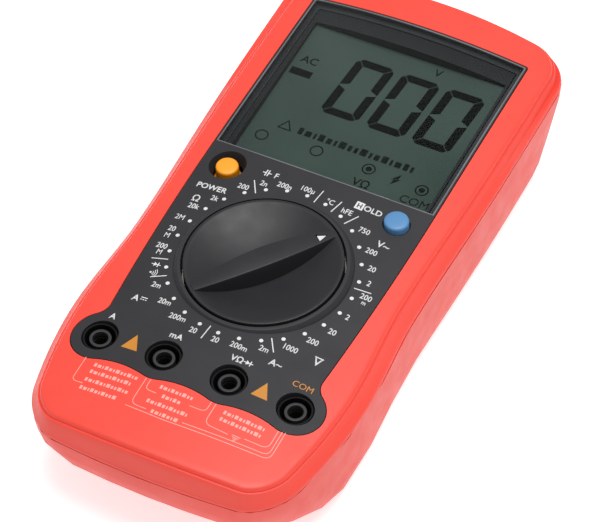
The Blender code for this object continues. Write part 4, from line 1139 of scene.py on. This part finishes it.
PLAIN_NODES = {
    "rear_case": "rear_red",
    "battery_door": "rear_red",
    "tilt_stand": "rear_red",
    "display_bezel": "bezel_black",
    "lcd_glass": "lcd_green",
    "zebra_strip_lower": "elastomer",
    "zebra_strip_upper": "elastomer",
    "switch_rotor": "rotor_ivory",
    "detent_ring": "rotor_ivory",
    "detent_ball_left": "spring_steel",
    "detent_ball_right": "spring_steel",
    "detent_spring_left": "spring_steel",
    "detent_spring_right": "spring_steel",
    "switch_wiper_1": "contact_brass",
    "switch_wiper_2": "contact_brass",
    "switch_wiper_3": "contact_brass",
    "power_plunger": "rotor_ivory",
    "power_switch": "switch_black",
    "hold_switch": "switch_black",
    "main_board": "board_green",
    "processor_chip": "chip_black",
    "trimmer": "button_blue",
    "buzzer": "contact_brass",
    "fuse_tube": "fuse_glass",
    "fuse_cap_left": "spring_steel",
    "fuse_cap_right": "spring_steel",
    "fuse_clip_left": "contact_brass",
    "fuse_clip_right": "contact_brass",
    "shunt_wire": "shunt_alloy",
    "battery": "battery_jacket",
    "battery_terminal_positive": "spring_steel",
    "battery_terminal_negative": "spring_steel",
    "battery_snap": "chip_black",
    "battery_lead_red": "lead_red",
    "battery_lead_black": "lead_black",
    "door_screw": "screw_steel",
    **{f"case_screw_{i}": "screw_steel" for i in (1, 2, 3, 4)},
    **{f"board_screw_{i}": "screw_steel" for i in (1, 2, 3)},
}


def dress_plain_nodes():
    for name, look in PLAIN_NODES.items():
        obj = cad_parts[name]
        paint(obj, look)
        round_shading(obj)


# Floor, light and camera.


def make_stage():
    bpy.ops.mesh.primitive_plane_add(size=6.0, location=(0, 0, -mm(0.05)))
    floor = bpy.context.object
    floor.name = "floor"
    graph = Graph("floor_paper")
    tone = graph.ramp(graph.noise(3.0, 2.0), (0.66, 0.66, 0.66), (0.7, 0.7, 0.7))
    graph.link(tone, graph.shader.inputs["Base Color"])
    graph.shader.inputs["Roughness"].default_value = 0.9
    graph.shader.inputs["Emission Color"].default_value = (1.0, 1.0, 1.0, 1.0)
    graph.shader.inputs["Emission Strength"].default_value = FLOOR_GLOW
    floor.data.materials.append(graph.material)


def area_light(name, place, target, size, power):
    light = bpy.data.lights.new(name, "AREA")
    light.shape = "DISK"
    light.size = size
    light.energy = power
    obj = bpy.data.objects.new(name, light)
    obj.location = place
    obj.rotation_euler = (Vector(place) - Vector(target)).to_track_quat("Z", "Y").to_euler()
    bpy.context.scene.collection.objects.link(obj)


def light_scene():
    world = bpy.data.worlds.new("soft_sky")
    bpy.context.scene.world = world
    world.use_nodes = True
    background = world.node_tree.nodes["Background"]
    background.inputs["Color"].default_value = (1.0, 1.0, 1.0, 1.0)
    background.inputs["Strength"].default_value = 0.5
    centre = (0, 0, 0.02)
    area_light("key", (0.14, 0.1, 1.15), centre, 0.85, 14.0)


CAMERA_PLACE = mm(264.18, -470.86, 662.13)
CAMERA_AZIMUTH = 29.303
CAMERA_ELEVATION = 50.160
CAMERA_ROLL = 3.473
CAMERA_LENS = 184.86


def place_camera():
    camera = bpy.data.objects.new("camera", bpy.data.cameras.new("camera"))
    camera.data.lens = CAMERA_LENS
    camera.data.sensor_width = 36.0
    camera.data.clip_start = 0.05
    azimuth, elevation = math.radians(CAMERA_AZIMUTH), math.radians(CAMERA_ELEVATION)
    flat = math.cos(elevation)
    back = Vector((math.sin(azimuth) * flat, -math.cos(azimuth) * flat, math.sin(elevation)))
    look = back.to_track_quat("Z", "Y")
    camera.rotation_mode = "QUATERNION"
    camera.rotation_quaternion = look @ Quaternion((0, 0, 1), math.radians(-CAMERA_ROLL))
    camera.location = CAMERA_PLACE
    bpy.context.scene.collection.objects.link(camera)
    bpy.context.scene.camera = camera


make_front_case()
make_front_panel()
make_window()
lcd_marks()
panel_print()
case_print()
make_selector()
make_buttons()
make_jacks()
dress_plain_nodes()
make_stage()
light_scene()
place_camera()
bpy.context.scene.view_settings.view_transform = "Standard"
